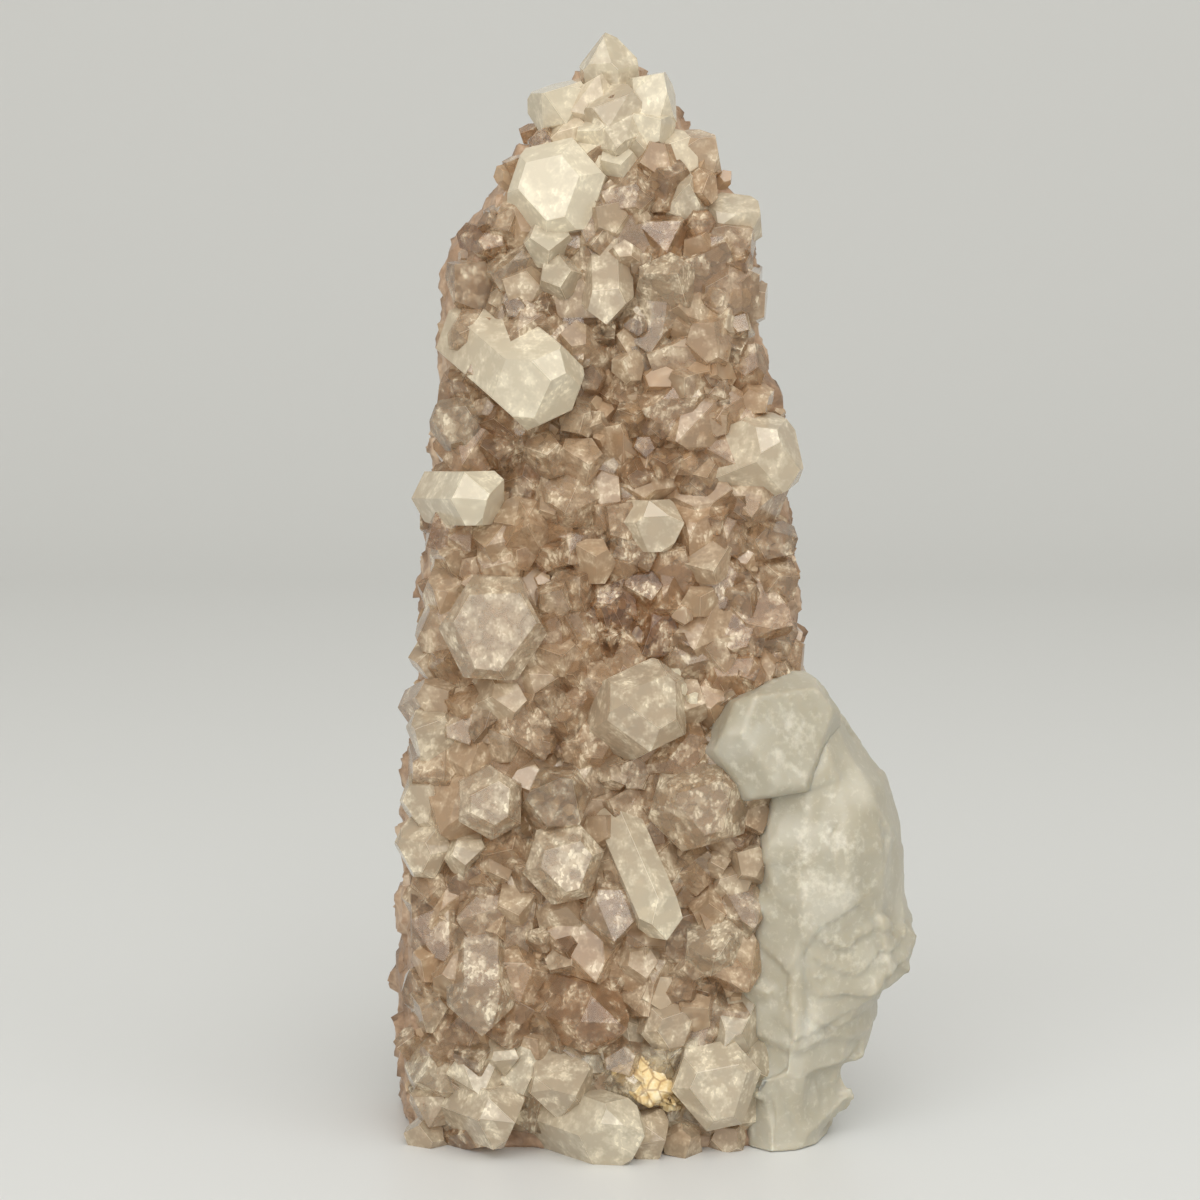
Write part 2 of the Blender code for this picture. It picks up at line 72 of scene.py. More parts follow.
# %% [markdown]
# The camera stands where the photographer stood: in front of the upper half of the tower, about a third of a
# metre away and looking down a few degrees. A long lens from there keeps the tower's sides nearly parallel.

# %% Camera
CAMERA_PLACE = (-6.0 * MM, -335.9 * MM, 93.2 * MM)
CAMERA_PITCH = math.radians(84.5)
camera_data = bpy.data.cameras.new("camera")
camera_data.lens = 88.95
camera_data.sensor_width = 36.0
camera = bpy.data.objects.new("camera", camera_data)
camera.location = CAMERA_PLACE
camera.rotation_euler = (CAMERA_PITCH, 0, 0)
bpy.context.scene.collection.objects.link(camera)
bpy.context.scene.camera = camera
print("camera looks down", round(90 - math.degrees(CAMERA_PITCH), 1), "degrees")

# %% [markdown]
# The tower's own lump is broken rock, so no primitive fits it. It is lofted here: a stack of levels, each with
# its left, right, front and back, and one ring of corners that every level scales to itself. The numbers are
# millimetres and the CAD part's own, and the dice have its seed, so both lumps come out the same.

# %% The tower's levels
SEED = 41
# Height, left, right, front and back.
TOWER = (
    (0.0, -29.4, 21.0, -12.6, 14.6),
    (9.0, -29.8, 20.6, -12.8, 15.0),
    (20.0, -29.7, 19.6, -12.4, 14.6),
    (33.0, -29.0, 18.6, -11.8, 13.4),
    (47.0, -28.0, 17.8, -11.2, 12.8),
    (62.0, -26.4, 17.0, -10.4, 11.4),
    (78.0, -25.0, 15.4, -9.4, 10.2),
    (90.0, -24.0, 12.8, -8.8, 9.0),
    (99.0, -22.4, 12.2, -8.2, 7.8),
    (106.0, -19.2, 9.8, -7.0, 6.6),
    (112.0, -15.2, 5.6, -5.6, 5.2),
    (117.0, -11.0, 2.0, -4.2, 3.8),
    (120.5, -8.4, -1.4, -2.6, 2.4),
)
# Corners of a level, as shares of its half width and half depth. The left side is a broken face that
# turns a little towards the front.
TOWER_CORNERS = (
    (-0.86, -0.80), (-0.62, -0.96), (-0.30, -1.00), (0.05, -1.00), (0.38, -0.98), (0.68, -0.92), (0.90, -0.72),
    (1.00, -0.30), (0.98, 0.12), (0.92, 0.50), (0.72, 0.84), (0.42, 0.97), (0.08, 1.00), (-0.28, 0.98),
    (-0.62, 0.95), (-0.88, 0.84), (-1.00, 0.50), (-0.97, 0.04), (-0.92, -0.40),
)
RING_STEP = 6.2
# How far the broken surface wanders, on the front under the druse and on the back, and the back's ledges.
ROUGHNESS = 0.75
BACK_ROUGHNESS = 1.25
LEDGES = ((18.0, 27.0, 1.6), (41.0, 50.0, -1.8), (60.0, 70.0, 1.3), (76.0, 84.0, -1.2), (95.0, 102.0, 0.9))


# %% Levels between the listed ones
def between(levels, height):
    """The level at a height, on straight lines between the listed ones."""
    if height <= levels[0][0]:
        return levels[0][1:]
    for low, high in zip(levels, levels[1:]):
        if height <= high[0]:
            share = (height - low[0]) / (high[0] - low[0])
            return tuple(a + (b - a) * share for a, b in zip(low[1:], high[1:]))
    return levels[-1][1:]


def ring_heights(levels, step):
    """Even heights, with each listed level kept."""
    heights = []
    for low, high in zip(levels, levels[1:]):
        parts = max(1, round((high[0] - low[0]) / step))
        heights += [low[0] + (high[0] - low[0]) * k / parts for k in range(parts)]
    return heights + [levels[-1][0]]


def ledge_at(height):
    """How far the back steps in or out at a height, as a broken surface does."""
    return next((depth for low, high, depth in LEDGES if low <= height <= high), 0.0)


# %% The tower's lump
def lofted_lump(levels, corners, step, dice, ledges):
    """A closed rough lump on rings, with a flat foot."""
    mesh = bmesh.new()
    rings = []
    for height in ring_heights(levels, step):
        left, right, front, back = between(levels, height)
        ring = []
        for u, v in corners:
            x = (left + right) / 2 + u * (right - left) / 2
            y = (front + back) / 2 + v * (back - front) / 2
            shake = ROUGHNESS
            if ledges and v > 0.4:
                y += ledge_at(height)
                shake = BACK_ROUGHNESS
            if height == 0:
                shake = 0.0
            x += dice.uniform(-shake, shake) * (0.6 if abs(u) > 0.8 else 1.0)
            y += dice.uniform(-shake, shake)
            z = height + dice.uniform(-shake, shake) if 0 < height < levels[-1][0] else height
            ring.append(mesh.verts.new((x, y, z)))
        rings.append(ring)
    count = len(corners)
    for low, high in zip(rings, rings[1:]):
        for k in range(count):
            mesh.faces.new((low[k], low[(k + 1) % count], high[(k + 1) % count], high[k]))
    mesh.faces.new(reversed(rings[0]))
    mesh.faces.new(rings[-1])
    bmesh.ops.triangulate(mesh, faces=mesh.faces[:])
    bmesh.ops.recalc_face_normals(mesh, faces=mesh.faces[:])
    return mesh


dice = random.Random(SEED)
tower_lump = lofted_lump(TOWER, TOWER_CORNERS, RING_STEP, dice, True)
tower_skin = BVHTree.FromBMesh(tower_lump)
print("tower lump:", len(tower_lump.faces), "faces")

# %% [markdown]
# The milky mass is a second, smoother lump that grew against the first. It is lofted by the same function.

# %% The milky mass's lump
MILKY_MASS = (
    (0.0, 9.8, 21.0, -14.6, 8.4),
    (4.0, 9.4, 21.8, -15.0, 9.0),
    (8.2, 9.6, 21.6, -14.8, 9.2),
    (9.8, 9.6, 25.0, -15.2, 9.6),
    (16.0, 9.0, 26.0, -15.6, 10.0),
    (18.2, 9.2, 29.2, -15.4, 10.4),
    (22.6, 9.8, 30.6, -15.4, 10.4),
    (29.0, 10.6, 29.6, -16.0, 9.6),
    (35.0, 11.2, 28.6, -16.2, 8.8),
    (41.0, 12.6, 26.8, -15.2, 7.6),
    (45.0, 14.0, 23.8, -13.6, 6.0),
    (48.0, 15.6, 21.2, -11.6, 4.0),
)
MASS_CORNERS = (
    (-0.95, -0.35), (-0.80, -0.80), (-0.35, -1.00), (0.15, -0.94), (0.62, -0.72), (0.92, -0.30), (1.00, 0.12),
    (0.86, 0.60), (0.40, 0.96), (-0.20, 1.00), (-0.80, 0.84), (-1.00, 0.30),
)
mass_lump = lofted_lump(MILKY_MASS, MASS_CORNERS, RING_STEP, dice, False)
print("milky mass lump:", len(mass_lump.faces), "faces")

# %% [markdown]
# A quartz crystal is a six-sided prism under a point, and on a stubby one some faces outgrow the others. The
# surest way to such a shape is to state its flat faces, each as a direction and a distance: the corners are
# where three faces meet inside all the others, and a convex hull joins them.

# %% A crystal's numbers
# Where the middle of its head stands in the front view, how wide it is, how far its body reaches back, how
# far the head stands out of the tower, which way it points (right, up, for one unit towards the viewer), the
# turn of its corners in degrees and how much of its point is there: 1 is an even point, 0.3 a large level
# face with a bevelled rim.
Crystal = namedtuple("Crystal", "x z width length out right up turn point")
# Quartz's pointed faces lean 38.2 degrees off its sides. A crystal under the plain width has three of them,
# and a wider one six, every second one smaller. Up to the blunt share a level face cuts them all, and above
# it one of the pointed faces leads and grows over the others.
FACE_TILT = math.radians(51.8)
PLAIN_WIDTH = 6.3
BLUNT = 0.45


def axes_of(aim):
    """Three axes at right angles: across, up and along the way a crystal points."""
    along = aim.normalized()
    across = Vector((0, 0, 1)).cross(along)
    if across.length < 0.2:
        across = Vector((0, 1, 0)).cross(along)
    across.normalize()
    return across, along.cross(across), along


# %% From flat faces to a crystal
def crystal_faces(crystal, dice):
    """Every flat face of a crystal, as an outward direction and a distance, about the middle of its head."""
    half = crystal.width / 2 * math.cos(math.pi / 6)
    faces = [(Vector((0, 0, -1)), crystal.length)]
    leading = dice.randrange(1, 6, 2)
    for k in range(6):
        around = math.radians(crystal.turn + 30 + 60 * k)
        flat = Vector((math.cos(around), math.sin(around), 0))
        faces.append((flat, half * dice.uniform(0.88, 1.12)))
        if k % 2 == 0 and crystal.width < PLAIN_WIDTH:
            continue
        tilt = FACE_TILT + dice.uniform(-0.05, 0.05)
        lean = flat * math.sin(tilt) + Vector((0, 0, math.cos(tilt)))
        grown = dice.uniform(0.84, 1.0) if k % 2 else dice.uniform(1.0, 1.16)
        if k == leading and crystal.point > BLUNT:
            grown = crystal.point
        faces.append((lean, half * math.sin(tilt) * grown))
    if crystal.point <= BLUNT:
        top = Vector((dice.uniform(-0.12, 0.12), dice.uniform(-0.12, 0.12), 1)).normalized()
        faces.append((top, half * math.tan(FACE_TILT) * crystal.point))
    return faces


def corners_of(faces):
    """The points where three faces meet inside all the others."""
    points = []
    for trio in combinations(faces, 3):
        turned = Matrix([normal for normal, _ in trio])
        if abs(turned.determinant()) < 1e-4:
            continue
        point = turned.inverted() @ Vector([distance for _, distance in trio])
        if all(normal.dot(point) <= distance + 1e-5 for normal, distance in faces):
            if all((point - other).length > 1e-3 for other in points):
                points.append(point)
    return points


def hull_of(points):
    """A closed convex mesh round the points, its flat faces whole."""
    mesh = bmesh.new()
    for point in points:
        mesh.verts.new(point)
    bmesh.ops.convex_hull(mesh, input=mesh.verts[:])
    loose = [vert for vert in mesh.verts if not vert.link_faces]
    bmesh.ops.delete(mesh, geom=loose, context="VERTS")
    bmesh.ops.dissolve_limit(mesh, angle_limit=0.01, verts=mesh.verts[:], edges=mesh.edges[:])
    bmesh.ops.recalc_face_normals(mesh, faces=mesh.faces[:])
    return mesh


# %% [markdown]
# The crystals that stand out are listed one by one, from the tip down. A scattered druse would be less
# work, but this cluster is known by where its big heads sit, and the CAD part has the same rows.

# %% The tip
TOP = (
    Crystal(-4.8, 121.3, 6.6, 10.0, 0.4, -0.40, 4.00, 0.0, 1.00),
    Crystal(-10.6, 117.0, 7.4, 9.0, 2.4, -0.50, 0.50, 10.0, 0.55),
    Crystal(-13.7, 113.6, 3.0, 5.0, 0.8, -0.90, 0.20, 0.0, 0.60),
    Crystal(-6.0, 113.4, 4.6, 7.0, 2.0, 0.05, 0.20, 20.0, 0.50),
    Crystal(0.2, 117.4, 7.0, 8.0, 1.4, 0.50, 0.80, 15.0, 0.80),
    Crystal(0.0, 114.2, 6.0, 8.0, 1.8, 0.40, 0.40, 0.0, 0.60),
    Crystal(5.4, 111.2, 6.8, 9.0, 1.4, 0.70, 0.70, 20.0, 0.70),
    Crystal(2.0, 107.3, 6.6, 8.0, 1.8, 0.20, 0.10, 0.0, 0.50),
    Crystal(-3.7, 109.3, 4.8, 6.0, 1.6, 0.10, 0.00, 15.0, 0.70),
    Crystal(-15.2, 109.4, 3.4, 5.0, 1.0, -0.70, 0.30, 10.0, 0.80),
)
print("crystals at the tip:", len(TOP))

# %% The upper front
UPPER = (
    Crystal(-10.8, 106.8, 11.2, 11.0, 3.6, -0.20, 0.10, 12.0, 0.34),
    Crystal(-11.2, 100.5, 5.8, 8.0, 2.6, 0.10, -0.25, 0.0, 0.60),
    Crystal(-10.2, 96.9, 5.2, 7.0, 2.5, 0.00, -0.35, 20.0, 0.80),
    Crystal(-5.0, 94.4, 5.8, 15.0, 3.0, 0.05, -1.60, 10.0, 0.90),
    Crystal(9.8, 104.0, 7.0, 8.0, 2.0, 0.80, 0.40, 25.0, 0.60),
    Crystal(5.4, 102.8, 4.0, 5.0, 1.7, 0.20, -0.20, 0.0, 0.40),
    Crystal(1.2, 101.7, 6.2, 8.0, 1.2, 0.10, 0.30, 5.0, 0.40),
    Crystal(1.8, 96.6, 7.4, 8.0, 3.2, 0.15, 0.05, 25.0, 0.50),
    Crystal(-20.2, 97.0, 6.2, 7.0, 1.4, -0.50, 0.60, 0.0, 0.50),
    Crystal(-11.8, 85.4, 10.8, 13.6, 4.6, 0.75, -0.60, -35.0, 0.44),
    Crystal(-21.3, 81.3, 7.4, 7.0, 2.2, -0.35, 0.10, 10.0, 0.40),
    Crystal(-16.8, 78.3, 5.0, 6.0, 1.9, 0.00, -0.30, 0.0, 0.60),
    Crystal(-18.4, 73.2, 7.0, 10.6, 5.2, 0.55, 0.05, 0.0, 0.50),
    Crystal(-11.8, 77.6, 6.0, 6.0, 2.5, -0.10, 0.00, 15.0, 0.50),
    Crystal(-7.9, 77.0, 5.6, 6.0, 2.5, 0.20, -0.10, 0.0, 0.60),
    Crystal(1.5, 77.1, 4.0, 5.0, 2.1, 0.10, 0.10, 0.0, 0.60),
    Crystal(6.4, 90.6, 6.0, 8.0, 2.5, 0.25, 0.60, 10.0, 0.80),
    Crystal(10.8, 88.2, 4.8, 9.0, 1.9, 0.40, 1.20, 0.0, 1.00),
    Crystal(11.6, 94.8, 5.2, 7.0, 1.6, 0.70, 0.40, 10.0, 0.70),
    Crystal(9.4, 98.4, 4.6, 6.0, 1.6, 0.40, 0.20, 20.0, 0.80),
    Crystal(3.8, 85.5, 4.4, 6.0, 2.3, 0.00, 0.30, 0.0, 0.70),
    Crystal(12.0, 84.0, 4.2, 6.0, 1.5, 0.60, 0.20, 0.0, 0.80),
    Crystal(-2.6, 87.6, 4.2, 6.0, 1.9, -0.20, 0.30, 20.0, 0.70),
    Crystal(-1.8, 81.8, 4.8, 6.0, 1.9, 0.10, 0.10, 5.0, 0.60),
)
print("crystals on the upper front:", len(UPPER))

# %% The middle
MIDDLE = (
    Crystal(13.4, 78.4, 10.2, 16.0, 3.0, 1.70, 0.75, 15.0, 0.42),
    Crystal(13.8, 68.6, 6.2, 8.0, 1.3, 1.30, 0.40, 0.0, 0.60),
    Crystal(14.6, 63.6, 5.8, 8.0, 1.0, 1.30, 0.30, 20.0, 0.60),
    Crystal(14.2, 57.4, 5.8, 8.0, 1.0, 1.30, 0.20, 0.0, 0.60),
    Crystal(1.0, 70.2, 6.4, 11.0, 3.0, 1.10, 0.02, 0.0, 0.70),
    Crystal(6.8, 71.0, 4.6, 5.0, 2.1, 0.30, 0.10, 10.0, 0.50),
    Crystal(6.2, 66.2, 6.2, 7.0, 2.3, 0.10, -0.10, 20.0, 0.50),
    Crystal(-6.6, 66.2, 5.4, 6.0, 2.5, -0.10, 0.10, 0.0, 0.50),
    Crystal(-14.5, 66.7, 4.0, 5.0, 1.9, -0.20, 0.20, 0.0, 0.80),
    Crystal(-10.9, 66.9, 4.2, 5.0, 1.9, 0.20, 0.30, 15.0, 0.80),
    Crystal(-3.0, 65.3, 4.4, 5.0, 2.1, 0.00, 0.20, 0.0, 0.60),
    Crystal(-1.0, 62.4, 5.2, 6.0, 2.1, 0.20, -0.30, 10.0, 0.50),
    Crystal(-17.4, 58.9, 12.4, 11.0, 5.8, -0.05, 0.03, -3.0, 0.26),
    Crystal(-24.7, 61.6, 4.4, 5.0, 1.1, -0.60, 0.10, 0.0, 0.70),
    Crystal(-24.4, 54.7, 5.6, 6.0, 1.5, -0.50, 0.00, 20.0, 0.50),
    Crystal(-16.3, 50.2, 5.8, 7.0, 2.7, 0.30, -0.35, 0.0, 0.60),
    Crystal(-10.4, 55.6, 5.2, 6.0, 2.5, 0.10, 0.10, 10.0, 0.60),
    Crystal(-0.4, 50.9, 11.0, 14.0, 4.8, 0.45, 0.40, 20.0, 0.40),
    Crystal(5.5, 61.6, 4.2, 5.0, 2.3, 0.10, 0.20, 0.0, 0.60),
    Crystal(10.0, 61.8, 5.2, 6.0, 1.9, 0.30, 0.20, 15.0, 0.60),
    Crystal(7.6, 56.0, 6.2, 7.0, 1.6, 0.20, 0.10, 5.0, 0.35),
    Crystal(-4.6, 57.4, 4.2, 5.0, 1.5, 0.00, 0.10, 5.0, 0.80),
    Crystal(3.1, 52.2, 1.9, 4.0, 3.0, 0.40, 0.60, 0.0, 1.00),
    Crystal(4.6, 51.0, 1.7, 4.0, 3.0, 0.60, 0.30, 15.0, 1.00),
    Crystal(2.5, 53.8, 1.6, 4.0, 2.4, 0.10, 0.70, 0.0, 1.00),
)
print("crystals in the middle:", len(MIDDLE))

# %% The lower front
LOWER = (
    Crystal(-24.4, 46.6, 6.8, 8.0, 1.8, -0.50, 0.20, 0.0, 0.50),
    Crystal(-20.8, 50.3, 4.4, 6.0, 1.6, -0.20, 0.20, 15.0, 0.60),
    Crystal(-16.5, 46.0, 4.8, 6.0, 1.8, 0.10, 0.20, 0.0, 0.50),
    Crystal(-11.3, 46.0, 2.4, 4.0, 2.2, 0.40, 0.30, 10.0, 0.50),
    Crystal(-17.8, 39.9, 8.4, 9.0, 3.6, 0.15, 0.02, 28.0, 0.40),
    Crystal(-25.0, 39.3, 7.4, 8.0, 1.8, -0.45, 0.10, 10.0, 0.40),
    Crystal(-25.6, 33.7, 7.4, 8.0, 1.8, -0.45, -0.10, 0.0, 0.40),
    Crystal(-20.4, 33.1, 5.6, 7.0, 2.2, 0.10, -0.35, 0.0, 0.50),
    Crystal(-10.2, 40.4, 8.4, 10.0, 3.2, 0.30, 0.60, 0.0, 1.00),
    Crystal(-9.3, 33.0, 9.2, 10.0, 4.6, 0.10, 0.02, 12.0, 0.36),
    Crystal(0.6, 27.6, 6.0, 13.0, 5.2, 0.75, -1.60, 0.0, 0.80),
    Crystal(5.4, 39.4, 11.8, 10.0, 3.0, 0.10, 0.15, 15.0, 0.42),
    Crystal(-3.8, 26.4, 8.4, 8.0, 2.8, 0.10, -0.50, 0.0, 0.55),
    Crystal(-15.0, 28.0, 5.0, 6.0, 2.4, 0.20, -0.10, 10.0, 0.50),
    Crystal(-12.0, 29.3, 3.2, 5.0, 1.8, 0.10, -0.10, 0.0, 0.60),
    Crystal(-18.8, 17.2, 7.6, 9.0, 3.6, 0.05, -1.20, 0.0, 1.00),
    Crystal(-12.3, 24.0, 3.4, 5.0, 1.6, 0.10, 0.10, 15.0, 0.60),
    Crystal(-24.6, 21.0, 4.6, 6.0, 1.6, -0.30, 0.20, 0.0, 0.60),
    Crystal(9.6, 35.2, 3.8, 6.0, 1.6, 0.50, 0.20, 0.0, 0.60),
    Crystal(9.2, 29.6, 5.4, 6.0, 1.0, 0.30, 0.10, 10.0, 0.35),
    Crystal(6.8, 23.5, 7.4, 8.0, 2.6, 0.10, 0.05, 22.0, 0.50),
)
print("crystals on the lower front:", len(LOWER))

# %% The foot, and the milky crystal on the mass
FOOT = (
    Crystal(-5.8, 15.8, 8.6, 14.0, 3.6, 1.20, -0.15, 0.0, 0.90),
    Crystal(2.2, 14.5, 7.2, 8.0, 2.6, 0.25, 0.00, 10.0, 0.40),
    Crystal(8.8, 14.8, 5.0, 6.0, 1.8, 0.10, 0.10, 0.0, 0.40),
    Crystal(6.5, 18.2, 3.8, 5.0, 1.8, 0.10, 0.10, 15.0, 0.50),
    Crystal(-25.2, 15.6, 5.4, 7.0, 1.6, -0.40, 0.20, 0.0, 0.50),
    Crystal(-27.0, 10.8, 4.4, 6.0, 1.2, -0.60, 0.00, 15.0, 0.60),
    Crystal(-23.6, 11.0, 4.8, 6.0, 1.8, -0.20, 0.10, 0.0, 0.50),
    Crystal(-19.4, 11.2, 5.4, 7.0, 2.0, 0.10, 0.20, 10.0, 0.50),
    Crystal(-16.4, 4.8, 8.2, 13.0, 4.2, 0.75, 0.00, 0.0, 0.50),
    Crystal(-9.6, 8.6, 8.0, 9.0, 3.4, 0.30, 0.10, 15.0, 0.50),
    Crystal(-3.6, 3.6, 8.2, 15.0, 6.2, 0.90, -0.05, 0.0, 0.55),
    Crystal(0.4, 2.2, 6.4, 10.0, 3.4, 0.90, 0.00, 10.0, 0.50),
    Crystal(7.3, 8.3, 10.8, 10.0, 4.0, 0.10, 0.05, 10.0, 0.38),
    Crystal(-24.6, 4.8, 5.6, 7.0, 1.2, -0.30, 0.00, 0.0, 0.40),
)
MILKY_CRYSTAL = Crystal(15.4, 46.6, 17.8, 15.0, 4.8, 0.36, 0.28, 18.0, 0.30)
LARGE = TOP + UPPER + MIDDLE + LOWER + FOOT + (MILKY_CRYSTAL,)
# The solid of the milky crystal is a little larger than the real head. This is the head as it shows.
MILKY_HEAD = Crystal(14.0, 46.9, 16.6, 15.0, 4.8, 0.36, 0.28, 3.0, 0.30)
print("listed crystals:", len(LARGE))

# %% [markdown]
# No two crystals look alike: iron oxide tints one and leaves the next pale, one is clear to its root and
# another full of healed cracks. Dozens of materials could say that, but numbers on the mesh say it with one.
# Each crystal gets how pale, how flecked and how clear it is, and each corner of its faces how deep it lies.
# They are kept on the corners, because a Boolean keeps what corners carry.

# %% How a crystal looks
Look = namedtuple("Look", "pale flecks clear")
# Crystals that stand out, by where they stand.
LOOKS = {
    # Most crystals of the tip are set pale for their own whiteness and also as painted light from above.
    (-4.8, 121.3): Look(1.0, 0.2, 0.55), (-6.0, 113.4): Look(1.0, 0.4, 0.4), (0.2, 117.4): Look(1.0, 0.4, 0.4),
    (0.0, 114.2): Look(1.0, 0.4, 0.4), (-3.7, 109.3): Look(1.0, 0.4, 0.4), (5.4, 111.2): Look(0.4, 0.2, 0.6),
    (-11.2, 100.5): Look(0.95, 0.3, 0.5), (-10.2, 96.9): Look(0.85, 0.3, 0.6), (-24.4, 46.6): Look(0.7, 0.4, 0.6),
    (-25.0, 39.3): Look(0.7, 0.4, 0.6), (-25.6, 33.7): Look(0.7, 0.5, 0.6), (-20.4, 33.1): Look(0.7, 0.4, 0.6),
    (-10.6, 117.0): Look(1.0, 0.3, 0.4), (-10.8, 106.8): Look(1.0, 0.4, 0.35), (9.8, 104.0): Look(0.9, 0.2, 0.5),
    (1.8, 96.6): Look(0.6, 0.9, 0.7), (-5.0, 94.4): Look(0.7, 0.2, 0.6), (-11.8, 85.4): Look(1.0, 0.4, 0.4),
    (13.4, 78.4): Look(0.8, 0.2, 0.5), (-18.4, 73.2): Look(1.0, 0.6, 0.4), (1.0, 70.2): Look(0.75, 0.4, 0.5),
    (-17.4, 58.9): Look(0.6, 0.5, 0.7), (-0.4, 50.9): Look(0.75, 0.35, 0.62), (-4.6, 57.4): Look(0.0, 0.9, 0.95),
    (-17.8, 39.9): Look(0.6, 0.5, 0.7), (-10.2, 40.4): Look(0.6, 0.2, 0.85), (-9.3, 33.0): Look(0.6, 0.7, 0.7),
    (5.4, 39.4): Look(0.5, 0.7, 0.75), (0.6, 27.6): Look(0.95, 0.5, 0.5), (-3.8, 26.4): Look(0.4, 0.6, 0.8),
    (6.8, 23.5): Look(0.7, 0.6, 0.75), (-18.8, 17.2): Look(0.6, 0.8, 0.8), (-5.8, 15.8): Look(0.1, 0.5, 0.85),
    (-16.4, 4.8): Look(0.8, 0.4, 0.6), (-3.6, 3.6): Look(0.95, 0.3, 0.5), (7.3, 8.3): Look(0.9, 0.5, 0.55),
    (-9.6, 8.6): Look(0.8, 0.4, 0.6), (3.1, 52.2): Look(1.0, 0.6, 0.3), (4.6, 51.0): Look(1.0, 0.6, 0.3),
    (2.5, 53.8): Look(1.0, 0.6, 0.3), (-1.0, 62.4): Look(0.1, 0.9, 0.95),
    (1.2, 101.7): Look(0.1, 0.1, 0.85),
}
# A hollow beside the large level crystal, where the crystals are drawn darker and browner, clearer and full of
# flecks: where it is and how far it reaches.
HOLLOW = (-2.6, 59.0, 4.4)
HOLLOW_LOOK = Look(0.0, 0.9, 0.95)


def in_hollow(x, z):
    """Whether a place on the front lies in the brown hollow."""
    return math.hypot(x - HOLLOW[0], z - HOLLOW[1]) < HOLLOW[2]


def look_of(crystal, dice):
    """How pale, flecked and clear a crystal is: larger and lower ones are paler."""
    size = min(1.0, max(0.0, (crystal.width - 4.0) / 6.0))
    lower = max(0.0, 1.0 - crystal.z / 60.0)
    pale = min(1.0, 0.10 + 0.60 * size + 0.15 * lower + dice.uniform(-0.10, 0.25))
    usual = Look(pale, dice.uniform(0.0, 0.5), dice.uniform(0.55, 0.9))
    if in_hollow(crystal.x, crystal.z):
        usual = HOLLOW_LOOK
    return LOOKS.get((crystal.x, crystal.z), usual)


# %% A crystal with worn edges and its numbers
# Some edges are chipped or worn round, by up to this much.
WORN = 0.07
WORN_SHARE = 0.4
NUMBERS = ("depth", "pale", "clear", "facet", "rim", "flecks")


def with_look(mesh, head, along, reach, look, dice):
    """Round some of a crystal's edges and write its numbers on the corners of its faces."""
    flats = [(face.normal.copy(), dice.random()) for face in mesh.faces]
    worn = [edge for edge in mesh.edges if dice.random() < WORN_SHARE]
    bmesh.ops.bevel(mesh, geom=worn, offset=WORN * dice.uniform(0.4, 1.0), segments=1, affect="EDGES",
                    clamp_overlap=True)
    bmesh.ops.triangulate(mesh, faces=mesh.faces[:])
    mesh.normal_update()
    layers = [mesh.loops.layers.float.new(name) for name in NUMBERS]
    patch = head + Vector([dice.uniform(-0.35, 0.35) * reach for _ in range(3)])
    for face in mesh.faces:
        facet, rim = next(((value, 0.0) for flat, value in flats if flat.dot(face.normal) > 0.9995), (0.5, 1.0))
        for loop in face.loops:
            deep = min(1.0, max(0.0, -(loop.vert.co - head).dot(along) / reach))
            near = min(1.0, max(0.0, 1.25 - (loop.vert.co - patch).length / reach))
            for layer, value in zip(layers, (deep, look.pale, look.clear, facet, rim, look.flecks * near)):
                loop[layer] = value
    return mesh


def placed_crystal(crystal, head, aim, dice, looks, look=None):
    """A crystal's mesh with the middle of its head at a point."""
    across, up, along = axes_of(aim)
    turn = Matrix((across, up, along)).transposed()
    mesh = hull_of([head + turn @ point for point in corners_of(crystal_faces(crystal, dice))])
    reach = max(3.0, 0.8 * crystal.width, 0.6 * crystal.length)
    return with_look(mesh, head, along, reach, look or look_of(crystal, looks), looks)


def grown_crystal(crystal, skin, dice, looks, look=None):
    """A crystal's mesh, rooted in the tower where a ray from the front meets it."""
    aim = Vector((crystal.right, -1, crystal.up))
    hit = skin.ray_cast(Vector((crystal.x, -80, crystal.z)), Vector((0, 1, 0)))[0]
    depth = hit.y if hit else -2.0
    head = Vector((crystal.x, depth - crystal.out, crystal.z))
    return placed_crystal(crystal, head, aim, dice, looks, look)


looks = random.Random(7)
crystals = [grown_crystal(MILKY_HEAD if crystal is MILKY_CRYSTAL else crystal, tower_skin, dice, looks)
            for crystal in LARGE]
milky_crystal = crystals.pop()
print("grown from the list:", len(crystals))

# %% [markdown]
# Small crystals stand between the listed ones and in patches on the back. They follow the CAD part's uneven
# grid with the same dice, so they are where its solids are. What only the looks need has dice of its own.

# %% The small crystals of the solid
DRUSE_STEP = 5.7
DRUSE_WIDTH = (3.4, 5.6)
# The druse stops short of the broken left face by this much.
BROKEN_EDGE = 4.4
# Patches of crystals on the back: middle, reach and how many.
BACK_PATCHES = ((-15.0, 90.0, 6.5, 8), (7.0, 66.0, 7.0, 8), (-18.0, 30.0, 7.5, 8))
BACK_WIDTH = (4.0, 6.6)
# The left edge of the milky mass, as (height, x) places. Crystals to its right are grown into the mass and
# made with it.
MASS_EDGE = ((2.5, 11.1), (13.3, 10.7), (19.9, 9.3), (25.6, 10.4), (33.3, 12.7), (41.1, 16.1), (46.0, 40.0))


def hidden_by_larger(x, z):
    """Whether a place on the front lies under the head of a listed crystal."""
    return any(math.hypot(x - large.x, z - large.z) < 0.42 * large.width for large in LARGE)


def mass_edge(height):
    """Where the milky mass begins at a height, or at each of many."""
    return np.interp(height, *zip(*MASS_EDGE))


